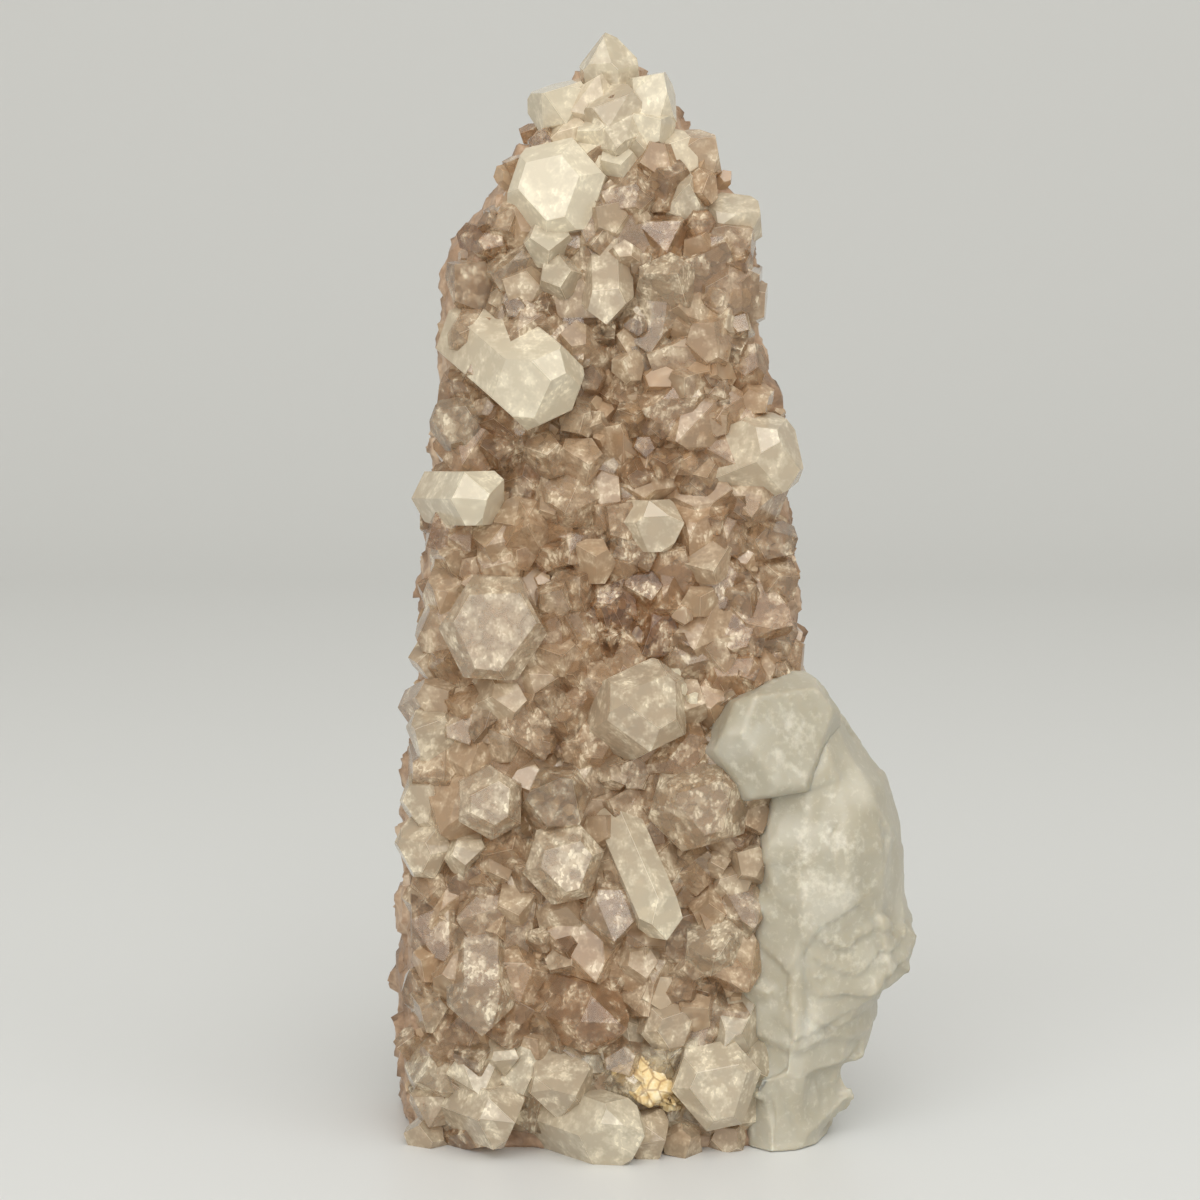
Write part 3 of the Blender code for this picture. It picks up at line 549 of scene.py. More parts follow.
def front_druse(skin, dice, looks):
    """Small crystals on an uneven grid over the front, and those that are grown into the milky mass."""
    grown = []
    milky = []
    height = 2.0
    row = 0
    while height < 119:
        left, right, _, _ = between(TOWER, height)
        x = left + BROKEN_EDGE + (row % 2) * DRUSE_STEP / 2
        while x < right - BROKEN_EDGE / 2:
            width = dice.uniform(*DRUSE_WIDTH)
            small = Crystal(x + dice.uniform(-1.3, 1.3), height + dice.uniform(-1.3, 1.3), width, width * 1.5,
                            dice.uniform(0.2, 2.0), dice.gauss(0, 0.45), dice.gauss(0, 0.45),
                            dice.uniform(0, 60), 1.0)
            if not hidden_by_larger(small.x, small.z):
                beside = small.x > mass_edge(small.z)
                (milky if beside else grown).append(grown_crystal(small, skin, dice, looks))
            x += DRUSE_STEP
        height += DRUSE_STEP * 0.87
        row += 1
    return grown, milky


def back_druse(skin, dice, looks):
    """Patches of crystals on the broken back."""
    grown = []
    for middle_x, middle_z, reach, count in BACK_PATCHES:
        for number in range(count):
            around = 2.4 * number
            away = reach * math.sqrt(number / count)
            x = middle_x + away * math.cos(around) + dice.uniform(-0.6, 0.6)
            z = middle_z + away * math.sin(around) + dice.uniform(-0.6, 0.6)
            hit, normal, _, _ = skin.ray_cast(Vector((x, 80, z)), Vector((0, -1, 0)))
            if hit is None:
                continue
            width = dice.uniform(*BACK_WIDTH) * (1.2 - 0.5 * away / reach)
            grow = Crystal(x, z, width, width * 1.3, 0, 0, 0, dice.uniform(0, 60), dice.choice((0.6, 0.8, 1.0)))
            aim = normal.normalized() + Vector((dice.gauss(0, 0.35), 0, dice.gauss(0.1, 0.35)))
            grown.append(placed_crystal(grow, hit + aim.normalized() * width * 0.1, aim, dice, looks))
    return grown


front_crystals, mass_crystals = front_druse(tower_skin, dice, looks)
crystals += front_crystals + back_druse(tower_skin, dice, looks)
print("with the small ones:", len(crystals), "and", len(mass_crystals), "in the milky mass")

# %% [markdown]
# On the real front no bare rock shows: wide, low crystals fill every gap and grow into their neighbours, and
# a few slim ones stand among them. They are only found by trial: a random place is taken if it is clear of
# the heads that are there, and the crystal is kept if it stays within the tower's own outline.

# %% Crystals that fill the gaps
Filling = namedtuple("Filling", "seed wanted widths rise gap clear_of")
FILLINGS = (
    Filling(23, 300, (7.0, 13.0), (2.8, 4.4), 0.18, 0.15),
    Filling(24, 60, (2.5, 5.0), (2.4, 4.2), 0.24, 0.34),
)
# Above this height the filling crystals are drawn much paler and less clear, which is painted light from above on
# the tip.
PAINTED_TOP_LIGHT_ABOVE = 106.0
# Above this height they are drawn a little paler, which is painted light from above on the upper front.
PAINTED_UPPER_LIGHT_ABOVE = 88.0
# Below this height the filling crystals are drawn much paler, which is painted light reflected up from the floor.
PAINTED_FLOOR_LIGHT_BELOW = 12.0


def inside_front(mesh):
    """Whether a crystal stays within the tower's sides, top and foot."""
    for vert in mesh.verts:
        left, right, _, _ = between(TOWER, vert.co.z)
        if not (left + 0.4 < vert.co.x < right + 0.8 and 0.2 < vert.co.z < 120):
            return False
    return True


def filling_look(x, z, looks):
    """Darker than the large heads and a little paler lower down; painted light makes them paler at the tip and
    upper front, as if lit from above, and at the foot, as if lit from the floor.
    """
    # A little paler lower down, and much paler at the foot as painted light reflected from the floor.
    lift = 0.15 * max(0.0, 1.0 - z / 60.0) + 0.5 * (z < PAINTED_FLOOR_LIGHT_BELOW)
    # Painted light from above: paler on the upper front, much paler at the tip.
    lift += 0.6 * (z > PAINTED_TOP_LIGHT_ABOVE) or 0.2 * (z > PAINTED_UPPER_LIGHT_ABOVE)
    # Less clear at the tip, so whiter: part of the same painted light from above.
    clear = looks.uniform(0.6, 0.9) - 0.3 * (z > PAINTED_TOP_LIGHT_ABOVE)
    look = Look(min(1.0, looks.uniform(0.05, 0.35) + lift), looks.uniform(0, 0.7), clear)
    return HOLLOW_LOOK if in_hollow(x, z) else look


def filling_crystals(filling, skin, looks):
    """Low crystals between the solids' crystals."""
    dice = random.Random(filling.seed)
    taken = [(crystal.x, crystal.z, filling.clear_of * crystal.width) for crystal in LARGE]
    grown = []
    for _ in range(filling.wanted * 12):
        height = dice.uniform(0.8, 119.0)
        left, right, _, _ = between(TOWER, height)
        x = dice.uniform(left + BROKEN_EDGE * 0.6, right - 1.2)
        width = dice.uniform(*filling.widths)
        away = filling.gap * width
        if any(math.hypot(x - other, height - level) < reach + away for other, level, reach in taken):
            continue
        outward = 0.6 * max(-1.0, min(1.0, 2 * (x - left) / (right - left) - 1)) ** 3
        out = dice.uniform(*filling.rise) - 0.42 * width
        small = Crystal(x, height, width, width * dice.uniform(1.0, 1.4), out,
                        outward + dice.gauss(0, 0.45), dice.gauss(-0.1, 0.55), dice.uniform(0, 60),
                        dice.choice((0.3, 0.4, 0.6, 0.7, 0.8, 1.0)))
        mesh = grown_crystal(small, skin, dice, looks, filling_look(x, height, looks))
        if not inside_front(mesh) or x > mass_edge(height):
            mesh.free()
            continue
        taken.append((x, height, away))
        grown.append(mesh)
        if len(grown) == filling.wanted:
            break
    return grown


for filling in FILLINGS:
    crystals += filling_crystals(filling, tower_skin, looks)
print("with those in the gaps:", len(crystals))

# %% [markdown]
# Crystals that grew together are one body, and a see-through one shows every face inside it. So they are
# joined by a Boolean, which leaves only the outer skin. Its Manifold solver takes a whole collection at once,
# in about a second. The foot is sawn flat the same way, by taking a block away.

# %% From layout to objects
# The middle of the finished box, measured from the layout's own origin.
BOX_MIDDLE = (0.3, -2.1)
PLACE = Matrix.Translation((-BOX_MIDDLE[0] * MM, -BOX_MIDDLE[1] * MM, 0)) @ Matrix.Scale(MM, 4)


def as_object(mesh, name):
    """Turn a bmesh in the layout's millimetres into an object in the frame's metres."""
    data = bpy.data.meshes.new(name)
    mesh.transform(PLACE)
    mesh.to_mesh(data)
    mesh.free()
    thing = bpy.data.objects.new(name, data)
    bpy.context.scene.collection.objects.link(thing)
    return thing


def fixed(thing):
    """Turn an object's modifiers into its plain mesh."""
    bpy.context.view_layer.update()
    graph = bpy.context.evaluated_depsgraph_get()
    mesh = bpy.data.meshes.new_from_object(thing.evaluated_get(graph))
    thing.modifiers.clear()
    thing.data = mesh
    return thing


def triangles(thing):
    """How many triangles an object has."""
    thing.data.calc_loop_triangles()
    return len(thing.data.loop_triangles)


# %% Join the crystals and saw their foot
def fused(meshes, name):
    """One closed solid of many closed meshes."""
    base = as_object(meshes[0], name)
    group = bpy.data.collections.new(name + "_parts")
    bpy.context.scene.collection.children.link(group)
    for number, mesh in enumerate(meshes[1:]):
        thing = as_object(mesh, f"{name}_{number}")
        bpy.context.scene.collection.objects.unlink(thing)
        group.objects.link(thing)
    join = base.modifiers.new("join", "BOOLEAN")
    join.operation = "UNION"
    join.solver = "MANIFOLD"
    join.operand_type = "COLLECTION"
    join.collection = group
    fixed(base)
    drop(group)
    return base


def drop(group):
    """Take a collection and what is in it away again."""
    for thing in list(group.objects):
        bpy.data.objects.remove(thing, do_unlink=True)
    bpy.data.collections.remove(group)


def sawn_foot(thing):
    """Saw the foot flat at z = 0."""
    width, depth = 160, 30
    saw = bmesh.new()
    bmesh.ops.create_cube(saw, size=1.0)
    bmesh.ops.scale(saw, vec=(width, width, depth), verts=saw.verts[:])
    bmesh.ops.translate(saw, vec=(0, 0, -depth / 2), verts=saw.verts[:])
    block = as_object(saw, "saw")
    cut = thing.modifiers.new("cut", "BOOLEAN")
    cut.operation = "DIFFERENCE"
    cut.solver = "MANIFOLD"
    cut.object = block
    fixed(thing)
    bpy.data.objects.remove(block, do_unlink=True)
    return thing


quartz_crystals = sawn_foot(fused(crystals, "quartz_crystals"))
print("quartz crystals:", triangles(quartz_crystals), "triangles")

# %% [markdown]
# A material is a tree of nodes. Every tree here, for looks or for geometry, is written with one small
# function: it adds a node, sets what is named, links what is given and returns one of its outputs. Colours
# are written as sRGB hex values, as a colour picker shows them, and turned to linear light here.

# %% Colours and nodes
def colour(text):
    """An sRGB hex value as linear red, green, blue and alpha."""
    parts = [int(text[k:k + 2], 16) / 255 for k in (1, 3, 5)]
    return [part / 12.92 if part <= 0.04045 else ((part + 0.055) / 1.055) ** 2.4 for part in parts] + [1.0]


def node(tree, kind, settings=None, links=None, out=0):
    """Add a node, set what is named, link what is given and return one of its outputs."""
    made = tree.nodes.new(kind)
    for name, value in (settings or {}).items():
        if name == "stops":
            band = made.color_ramp.elements
            while len(band) < len(value):
                band.new(0.5)
            for element, (place, shade) in zip(band, value):
                element.position = place
                element.color = colour(shade) if isinstance(shade, str) else (shade, shade, shade, 1)
        elif isinstance(name, int) or name in made.inputs:
            made.inputs[name].default_value = colour(value) if isinstance(value, str) and value[0] == "#" else value
        else:
            setattr(made, name, value)
    for name, source in (links or {}).items():
        tree.links.new(source, made.inputs[name])
    return made.outputs[out] if len(made.outputs) else made


def empty_material(name):
    """A new material with an empty tree."""
    made = bpy.data.materials.new(name)
    made.use_nodes = True
    made.node_tree.nodes.clear()
    return made, made.node_tree


def painted(thing, material):
    """Give an object one material."""
    thing.data.materials.clear()
    thing.data.materials.append(material)
    print(thing.name, "is", material.name)

# %% [markdown]
# Iron-tinted rock crystal: clear quartz that grew in water, its faces as smooth as glass or finely etched.
# Iron oxide tints it honey to pink, more towards the root, and fluid caught in healed cracks shows as white
# angular flecks. One shader can't be glass and milk at once, so two are mixed: clear quartz by plain
# transmission, refraction and absorption, and quartz filled with haze. The pattern is the share of each.

# %% Iron-tinted rock crystal
QUARTZ_IOR = 1.544
# A cloud of haze is about 2 mm across. A fleck is a tenth of that on the real stone, and it is drawn 0.3 mm
# wide, which is the finest that the render shows.
HAZE = 2.2 * MM
FLECK = 0.30 * MM


def iron_tinted_crystal():
    """Clear quartz and hazy quartz, mixed by noise and by each crystal's own numbers."""
    made, tree = empty_material("iron_tinted_rock_crystal")
    depth, pale, clear, facet, rim, flecks = (
        node(tree, "ShaderNodeAttribute", {"attribute_name": name}, out="Fac") for name in NUMBERS)
    place = node(tree, "ShaderNodeTexCoord", out="Object")
    haze = node(tree, "ShaderNodeTexNoise", {"Scale": 1 / HAZE, "Detail": 3.0, "Roughness": 0.68}, {0: place})
    veil = node(tree, "ShaderNodeValToRGB", {"stops": ((0.44, 0.0), (0.66, 1.0))}, {0: haze})
    # Flecks: each cell is white or clear by its own random colour, in the patches that haze and flecks give.
    bent = node(tree, "ShaderNodeVectorMath", {"operation": "MULTIPLY_ADD", 1: [0.7 * HAZE] * 3},
                {0: haze.node.outputs["Color"], 2: place})
    drawn_out = node(tree, "ShaderNodeMapping", {"Scale": (1.0, 1.0, 0.5), "Rotation": (0.3, 0.4, 0.2)}, {0: bent})
    cell = node(tree, "ShaderNodeTexVoronoi", {"Scale": 1 / FLECK}, {0: drawn_out}, out="Color")
    chance = node(tree, "ShaderNodeSeparateColor", None, {0: cell})
    fleck = node(tree, "ShaderNodeValToRGB", {"stops": ((0.40, 0.0), (0.62, 0.22), (0.95, 0.58))}, {0: chance})
    where = node(tree, "ShaderNodeMath", {"operation": "MULTIPLY_ADD", 1: 0.15}, {0: flecks, 2: haze})
    patch = node(tree, "ShaderNodeValToRGB", {"stops": ((0.54, 0.0), (0.67, 1.0))}, {0: where})
    white = node(tree, "ShaderNodeMath", {"operation": "MULTIPLY"}, {0: fleck, 1: patch})
    # Colours: honey or pale by crystal, browner towards the root, whiter in haze and flecks.
    tint = node(tree, "ShaderNodeMix", {"data_type": "RGBA", 6: "#DAB48B", 7: "#EDE2C8"}, {0: pale}, 2)
    rootward = node(tree, "ShaderNodeMath", {"operation": "MULTIPLY", 1: 0.30}, {0: depth})
    deep = node(tree, "ShaderNodeMix", {"data_type": "RGBA", 7: "#A67C50"}, {0: rootward, 6: tint}, 2)
    thin_veil = node(tree, "ShaderNodeMath", {"operation": "MULTIPLY", 1: 0.30}, {0: veil})
    hazy = node(tree, "ShaderNodeMix", {"data_type": "RGBA", 7: "#F2EAD2"}, {0: thin_veil, 6: deep}, 2)
    milky = node(tree, "ShaderNodeMix", {"data_type": "RGBA", 7: "#F6EDD3"}, {0: white, 6: hazy}, 2)
    # Some faces are smooth and some etched, and a worn edge is matt.
    etched = node(tree, "ShaderNodeValToRGB", {"stops": ((0.0, 0.04), (0.55, 0.12), (1.0, 0.28))}, {0: facet})
    rough = node(tree, "ShaderNodeMath", {"operation": "MULTIPLY_ADD", 1: 0.2}, {0: rim, 2: etched})
    # How much is clear: less in a veil, nothing in a white fleck.
    unflecked = node(tree, "ShaderNodeMath", {"operation": "SUBTRACT", 0: 1.0}, {1: white})
    unveiled = node(tree, "ShaderNodeMath", {"operation": "MULTIPLY_ADD", 1: -0.35, 2: 1.0}, {0: veil})
    open_share = node(tree, "ShaderNodeMath", {"operation": "MULTIPLY"}, {0: unflecked, 1: unveiled})
    through = node(tree, "ShaderNodeMath", {"operation": "MULTIPLY"}, {0: open_share, 1: clear})
    glass = node(tree, "ShaderNodeBsdfPrincipled", {"Transmission Weight": 1.0, "IOR": QUARTZ_IOR},
                 {"Base Color": deep, "Roughness": rough})
    filled = node(tree, "ShaderNodeBsdfPrincipled", {"IOR": QUARTZ_IOR}, {"Base Color": milky, "Roughness": rough})
    both = node(tree, "ShaderNodeMixShader", None, {0: through, 1: filled, 2: glass})
    dim = node(tree, "ShaderNodeVolumeAbsorption", {"Color": "#E6C6A0", "Density": 20.0})
    node(tree, "ShaderNodeOutputMaterial", None, {"Surface": both, "Volume": dim})
    return made


rock_crystal = iron_tinted_crystal()
painted(quartz_crystals, rock_crystal)

# %% [markdown]
# The tower's lump is quartz too, broken and not grown, so its skin is a patchwork of small tilted planes. A
# displacement texture would give soft hills. Instead the lump gets an even mesh by a voxel remesh, and each
# point is moved by the plane of the cell that it lies in, which leaves sharp creases between the planes.

# %% Moving the points of an even mesh
def remeshed(thing, voxel):
    """Give an object an even mesh, so that fine relief has points to move."""
    again = thing.modifiers.new("even", "REMESH")
    again.mode = "VOXEL"
    again.voxel_size = voxel
    again.use_smooth_shade = True
    return fixed(thing)


def read_points(thing, what):
    """An object's points (co) or the directions they face (normal), as an array."""
    flat = np.empty(len(thing.data.vertices) * 3)
    thing.data.vertices.foreach_get(what, flat)
    return flat.reshape(-1, 3) / (MM if what == "co" else 1)


def broken_relief(points, spacing, tilt, seed):
    """Heights like broken rock: each cell is a small plane of its own tilt."""
    rng = np.random.default_rng(seed)
    low, high = points.min(0) - spacing, points.max(0) + spacing
    count = np.ceil((high - low) / spacing).astype(int)
    grid = np.stack(np.meshgrid(*[np.arange(n) for n in count], indexing="ij"), -1).reshape(-1, 3)
    middles = low + (grid + rng.uniform(0, 1, grid.shape)) * spacing
    tilts = rng.normal(0, tilt, grid.shape)
    tree = kdtree.KDTree(len(middles))
    for number, middle in enumerate(middles):
        tree.insert(middle, number)
    tree.balance()
    near = np.array([tree.find(point)[1] for point in points])
    return ((points - middles[near]) * tilts[near]).sum(1)


def moved(thing, heights):
    """Move each point along its own normal, in millimetres, and keep the foot flat."""
    points = read_points(thing, "co")
    lift = np.clip(points[:, 2], 0, 1)
    points += read_points(thing, "normal") * (heights * lift)[:, None]
    points[:, 2] = np.maximum(points[:, 2], 0)
    thing.data.vertices.foreach_set("co", (points * MM).ravel())
    thing.data.update()
    return thing


# %% The stained tower
tower = remeshed(as_object(tower_lump, "stained_tower"), 0.55 * MM)
tower_points = read_points(tower, "co")
front_share = np.clip(-1.6 * read_points(tower, "normal")[:, 1], 0, 1)
relief = broken_relief(tower_points, 2.4, 0.30, 3) * front_share
relief += broken_relief(tower_points, 6.0, 0.16, 4) * (1 - front_share)
relief += broken_relief(tower_points, 1.7, 0.16, 5) * (1 - front_share)
moved(tower, relief - 0.25)
print("tower:", triangles(tower), "triangles")

# %% [markdown]
# Iron-stained massive quartz: broken, so it is rough and only dully glossy, and packed with red-brown iron
# oxide. Light still goes a little way in. Two sizes of noise give clouds of stain and grains in them.

# %% Iron-stained massive quartz
STAIN = 9.0 * MM
GRAIN = 1.6 * MM


def iron_stained_quartz():
    """Clouds of iron stain and finer grains, on a rough broken surface."""
    made, tree = empty_material("iron_stained_massive_quartz")
    place = node(tree, "ShaderNodeTexCoord", out="Object")
    clouds = node(tree, "ShaderNodeTexNoise", {"Scale": 1 / STAIN, "Detail": 4.0, "Distortion": 0.6}, {0: place})
    grains = node(tree, "ShaderNodeTexNoise", {"Scale": 1 / GRAIN, "Detail": 6.0, "Roughness": 0.6}, {0: place})
    pits = node(tree, "ShaderNodeTexNoise", {"Scale": 2 / GRAIN, "Detail": 6.0, "Roughness": 0.65}, {0: place})
    both = node(tree, "ShaderNodeMath", {"operation": "ADD"}, {0: clouds, 1: grains})
    tone = node(tree, "ShaderNodeMath", {"operation": "MULTIPLY", 1: 0.5}, {0: both})
    stain = node(tree, "ShaderNodeValToRGB",
                 {"stops": ((0.36, "#8D715A"), (0.50, "#AD8E73"), (0.62, "#CFB69B"))}, {0: tone})
    rough = node(tree, "ShaderNodeValToRGB", {"stops": ((0.3, 0.22), (0.7, 0.6))}, {0: grains})
    bump = node(tree, "ShaderNodeBump", {"Strength": 0.6, "Distance": 0.3 * MM}, {"Height": pits})
    skin = node(tree, "ShaderNodeBsdfPrincipled",
                {"IOR": QUARTZ_IOR},
                {"Base Color": stain, "Roughness": rough, "Normal": bump})
    node(tree, "ShaderNodeOutputMaterial", None, {"Surface": skin})
    return made


painted(tower, iron_stained_quartz())

# %% [markdown]
# Between the crystals the rock is sugared with crystals of a millimetre or two. There are hundreds, all of a
# few shapes, so Geometry Nodes place them: points are scattered over the rock where its druse share is above
# zero, and each takes one of five small master crystals, turned and sized at random from a fixed seed.

# %% Helpers for Geometry Nodes
def new_group(name, **inputs):
    """A Geometry Nodes group with a geometry in and out and named number inputs."""
    tree = bpy.data.node_groups.new(name, "GeometryNodeTree")
    tree.interface.new_socket("Geometry", in_out="INPUT", socket_type="NodeSocketGeometry")
    for label, value in inputs.items():
        kind = "NodeSocketInt" if isinstance(value, int) else "NodeSocketFloat"
        tree.interface.new_socket(label, in_out="INPUT", socket_type=kind).default_value = value
    tree.interface.new_socket("Geometry", in_out="OUTPUT", socket_type="NodeSocketGeometry")
    return tree, tree.nodes.new("NodeGroupInput").outputs


def grown_by(thing, tree, **values):
    """Run a node group on an object and keep the result as a plain mesh."""
    step = thing.modifiers.new(tree.name, "NODES")
    step.node_group = tree
    for item in tree.interface.items_tree:
        if item.item_type == "SOCKET" and item.in_out == "INPUT" and item.name in values:
            step[item.identifier] = values[item.name]
    return fixed(thing)


def small_masters(dice, count):
    """Small crystals one unit wide, rooted at the origin and pointing up, in a collection of their own."""
    group = bpy.data.collections.new("small_crystals")
    for number in range(count):
        plain = Crystal(0, 0, 1.0, 1.5, 0, 0, 0, dice.uniform(0, 60), dice.choice((0.6, 0.8, 1.0)))
        mesh = hull_of([point + Vector((0, 0, 0.25)) for point in corners_of(crystal_faces(plain, dice))])
        data = bpy.data.meshes.new("small_crystal")
        mesh.to_mesh(data)
        mesh.free()
        group.objects.link(bpy.data.objects.new(f"small_crystal_{number}", data))
    return group


# %% The fine druse
def druse_group(masters, material):
    """Small crystals over every face whose druse share is above zero."""
    tree, given = new_group("fine_druse", Spacing=1.5 * MM, Smallest=1.0 * MM, Largest=2.6 * MM, Lean=0.6, Seed=5)
    share = node(tree, "GeometryNodeInputNamedAttribute", {"data_type": "FLOAT", "Name": "druse"})
    area = node(tree, "ShaderNodeMath", {"operation": "MULTIPLY"}, {0: given["Spacing"], 1: given["Spacing"]})
    density = node(tree, "ShaderNodeMath", {"operation": "DIVIDE", 0: 1.2}, {1: area})
    spread = node(tree, "GeometryNodeDistributePointsOnFaces", {"distribute_method": "POISSON"},
                  {"Mesh": given["Geometry"], "Distance Min": given["Spacing"], "Density Max": density,
                   "Density Factor": share, "Seed": given["Seed"]}, "Points")
    back = node(tree, "ShaderNodeMath", {"operation": "MULTIPLY", 1: -1.0}, {0: given["Lean"]})
    low = node(tree, "ShaderNodeCombineXYZ", None, {"X": back, "Y": back})
    high = node(tree, "ShaderNodeCombineXYZ", {"Z": 2 * math.pi}, {"X": given["Lean"], "Y": given["Lean"]})
    lean = node(tree, "FunctionNodeRandomValue", {"data_type": "FLOAT_VECTOR"},
                {0: low, 1: high, "Seed": given["Seed"]})
    lean_turn = node(tree, "FunctionNodeEulerToRotation", None, {0: lean})
    turn = node(tree, "FunctionNodeRotateRotation", {"rotation_space": "LOCAL"},
                {"Rotation": spread.node.outputs["Rotation"], "Rotate By": lean_turn})
    size = node(tree, "FunctionNodeRandomValue", {"data_type": "FLOAT"},
                {2: given["Smallest"], 3: given["Largest"], "Seed": given["Seed"]}, 1)
    shapes = node(tree, "GeometryNodeCollectionInfo",
                  {"Collection": masters, "Separate Children": True, "Reset Children": True})
    druse = node(tree, "GeometryNodeInstanceOnPoints", {"Pick Instance": True},
                 {"Points": spread, "Instance": shapes, "Rotation": turn, "Scale": size})
    # The material's numbers: little crystals are honey-coloured and half clear.
    pale = node(tree, "FunctionNodeRandomValue", {"data_type": "FLOAT", 2: 0.0, 3: 0.35, "Seed": 11}, None, 1)
    tinted = node(tree, "GeometryNodeStoreNamedAttribute",
                  {"data_type": "FLOAT", "domain": "INSTANCE", "Name": "pale"}, {"Geometry": druse, "Value": pale})
    half = node(tree, "GeometryNodeStoreNamedAttribute",
                {"data_type": "FLOAT", "domain": "INSTANCE", "Name": "clear", "Value": 0.5}, {"Geometry": tinted})
    real = node(tree, "GeometryNodeRealizeInstances", None, {"Geometry": half})
    finished = node(tree, "GeometryNodeSetMaterial", {"Material": material}, {"Geometry": real})
    node(tree, "NodeGroupOutput", None, {0: finished})
    return tree


def with_number(thing, values, name):
    """Write one number for each point of an object's mesh."""
    layer = thing.data.attributes.new(name, "FLOAT", "POINT")
    layer.data.foreach_set("value", np.asarray(values, dtype=np.float32))


# No small crystal is rooted lower than this, so none reaches below the sawn foot, or higher than this, where
# the heads of the tip hide the rock.
DRUSE_FROM = 2.2
DRUSE_TO = 110.0
# How far it reaches over the edge of the milky mass.
DRUSE_OVER_MASS = 1.0
bed = bpy.data.objects.new("fine_druse", tower.data.copy())
bpy.context.scene.collection.objects.link(bed)
druse_share = np.clip((-read_points(bed, "normal")[:, 1] - 0.45) * 3, 0, 1)
places = read_points(bed, "co")
clear_of_mass = places[:, 0] + BOX_MIDDLE[0] < mass_edge(places[:, 2]) + DRUSE_OVER_MASS
druse_share *= (places[:, 2] > DRUSE_FROM) * (places[:, 2] < DRUSE_TO) * clear_of_mass
with_number(bed, druse_share, "druse")
masters = small_masters(random.Random(3), 5)
fine_druse = grown_by(bed, druse_group(masters, rock_crystal), Spacing=1.5 * MM, Seed=5)
drop(masters)
print("fine druse:", triangles(fine_druse), "triangles")

# %% [markdown]
# The milky mass broke along soft curved planes: wide ones on the front, stacked thin layers low on the right,
# a ledge above a recessed foot. Each of these is a height added to the points of an even mesh, from where the
# point is: numpy works out all of them at once, which a loop over the points would take minutes for.

# %% Where the milky quartz is cracked and cloudy
def eased(values, low, high):
    """0 below low, 1 above high, smooth between."""
    share = np.clip((values - low) / (high - low), 0, 1)
    return share * share * (3 - 2 * share)


def away_from(points, line):
    """How far each point is, in the front view, from a line of (x, z) places."""
    flat = points[:, (0, 2)] + np.array((BOX_MIDDLE[0], 0))
    best = np.full(len(flat), 1e9)
    for start, end in zip(line, line[1:]):
        start, step = np.array(start), np.array(end) - np.array(start)
        share = np.clip(((flat - start) @ step) / (step @ step), 0, 1)
        best = np.minimum(best, np.linalg.norm(flat - start - share[:, None] * step, axis=1))
    return best


# A groove low on the mass, as (x, z) places.
GROOVE = ((16.9, 23.8), (17.0, 20.5), (17.4, 17.0), (17.0, 14.4))
# White clouds inside: where they run, how wide they are and how white.
CLOUDS = (
    (((15.2, 48.6), (16.4, 47.0)), 1.7, 0.9), (((13.6, 45.2), (16.6, 42.9)), 0.5, 1.0),
    (((9.0, 44.4), (11.6, 42.2)), 0.5, 0.6), (((19.8, 36.2), (21.8, 34.6)), 1.2, 0.8),
    (((15.6, 32.0), (17.4, 33.4), (16.6, 36.0)), 1.1, 0.7), (((16.8, 31.2), (21.4, 29.8)), 1.7, 0.8),
    (((16.4, 27.2), (19.4, 25.4), (23.4, 21.2), (27.0, 20.8)), 0.8, 0.7),
    (((11.2, 22.6), (12.6, 20.0)), 0.7, 0.5), (((11.6, 13.4), (15.6, 12.8), (22.6, 14.0)), 0.5, 0.5),
)


def clouded(thing):
    """Write how cloudy the quartz is at each point."""
    points = read_points(thing, "co")
    cloud = np.zeros(len(points))
    for line, reach, strength in CLOUDS:
        cloud = np.maximum(cloud, strength * np.exp(-(away_from(points, line) / reach) ** 2))
    with_number(thing, cloud, "cloud")


# %% The relief of the milky mass
# Layers: thickness, and how deep each one steps back. The lip: how high, and how deep the foot under it is.
LAYER = 3.1
LAYER_STEP = 0.5
LIP = 12.6
LIP_DEPTH = 0.8


def mass_relief(points, faces):
    """The milky mass's broken skin."""
    x, z = points[:, 0] + BOX_MIDDLE[0], points[:, 2]
    heights = broken_relief(points, 9.0, 0.05, 8) + broken_relief(points, 3.4, 0.015, 9)
    layered = eased(x, 16.5, 19.0) * eased(z, 12.0, 13.0) * (1 - eased(z, 25.0, 26.0))
    fold = z - 22.9 + 0.9 * (x - 16.6) - 0.085 * (x - 16.6) ** 2 + 0.5 * np.sin(0.9 * x + 0.6 * z)
    heights += layered * (LAYER_STEP * ((-fold / LAYER) % 1.0) ** 1.4 - LAYER_STEP / 2)
    heights += layered * broken_relief(points, 2.6, 0.05, 10)
    in_front = np.clip(-1.4 * faces[:, 1], 0, 1)
    lip = LIP + 0.5 * np.sin(0.7 * x)
    heights -= LIP_DEPTH * in_front * (1 - eased(z, lip - 1.0, lip))
    heights -= 0.6 * in_front * np.exp(-(away_from(points, GROOVE) / 0.5) ** 2)
    return heights


def smoothed(thing, times):
    """Ease an object's points towards each other."""
    soft = thing.modifiers.new("soft", "SMOOTH")
    soft.factor = 0.5
    soft.iterations = times
    return fixed(thing)


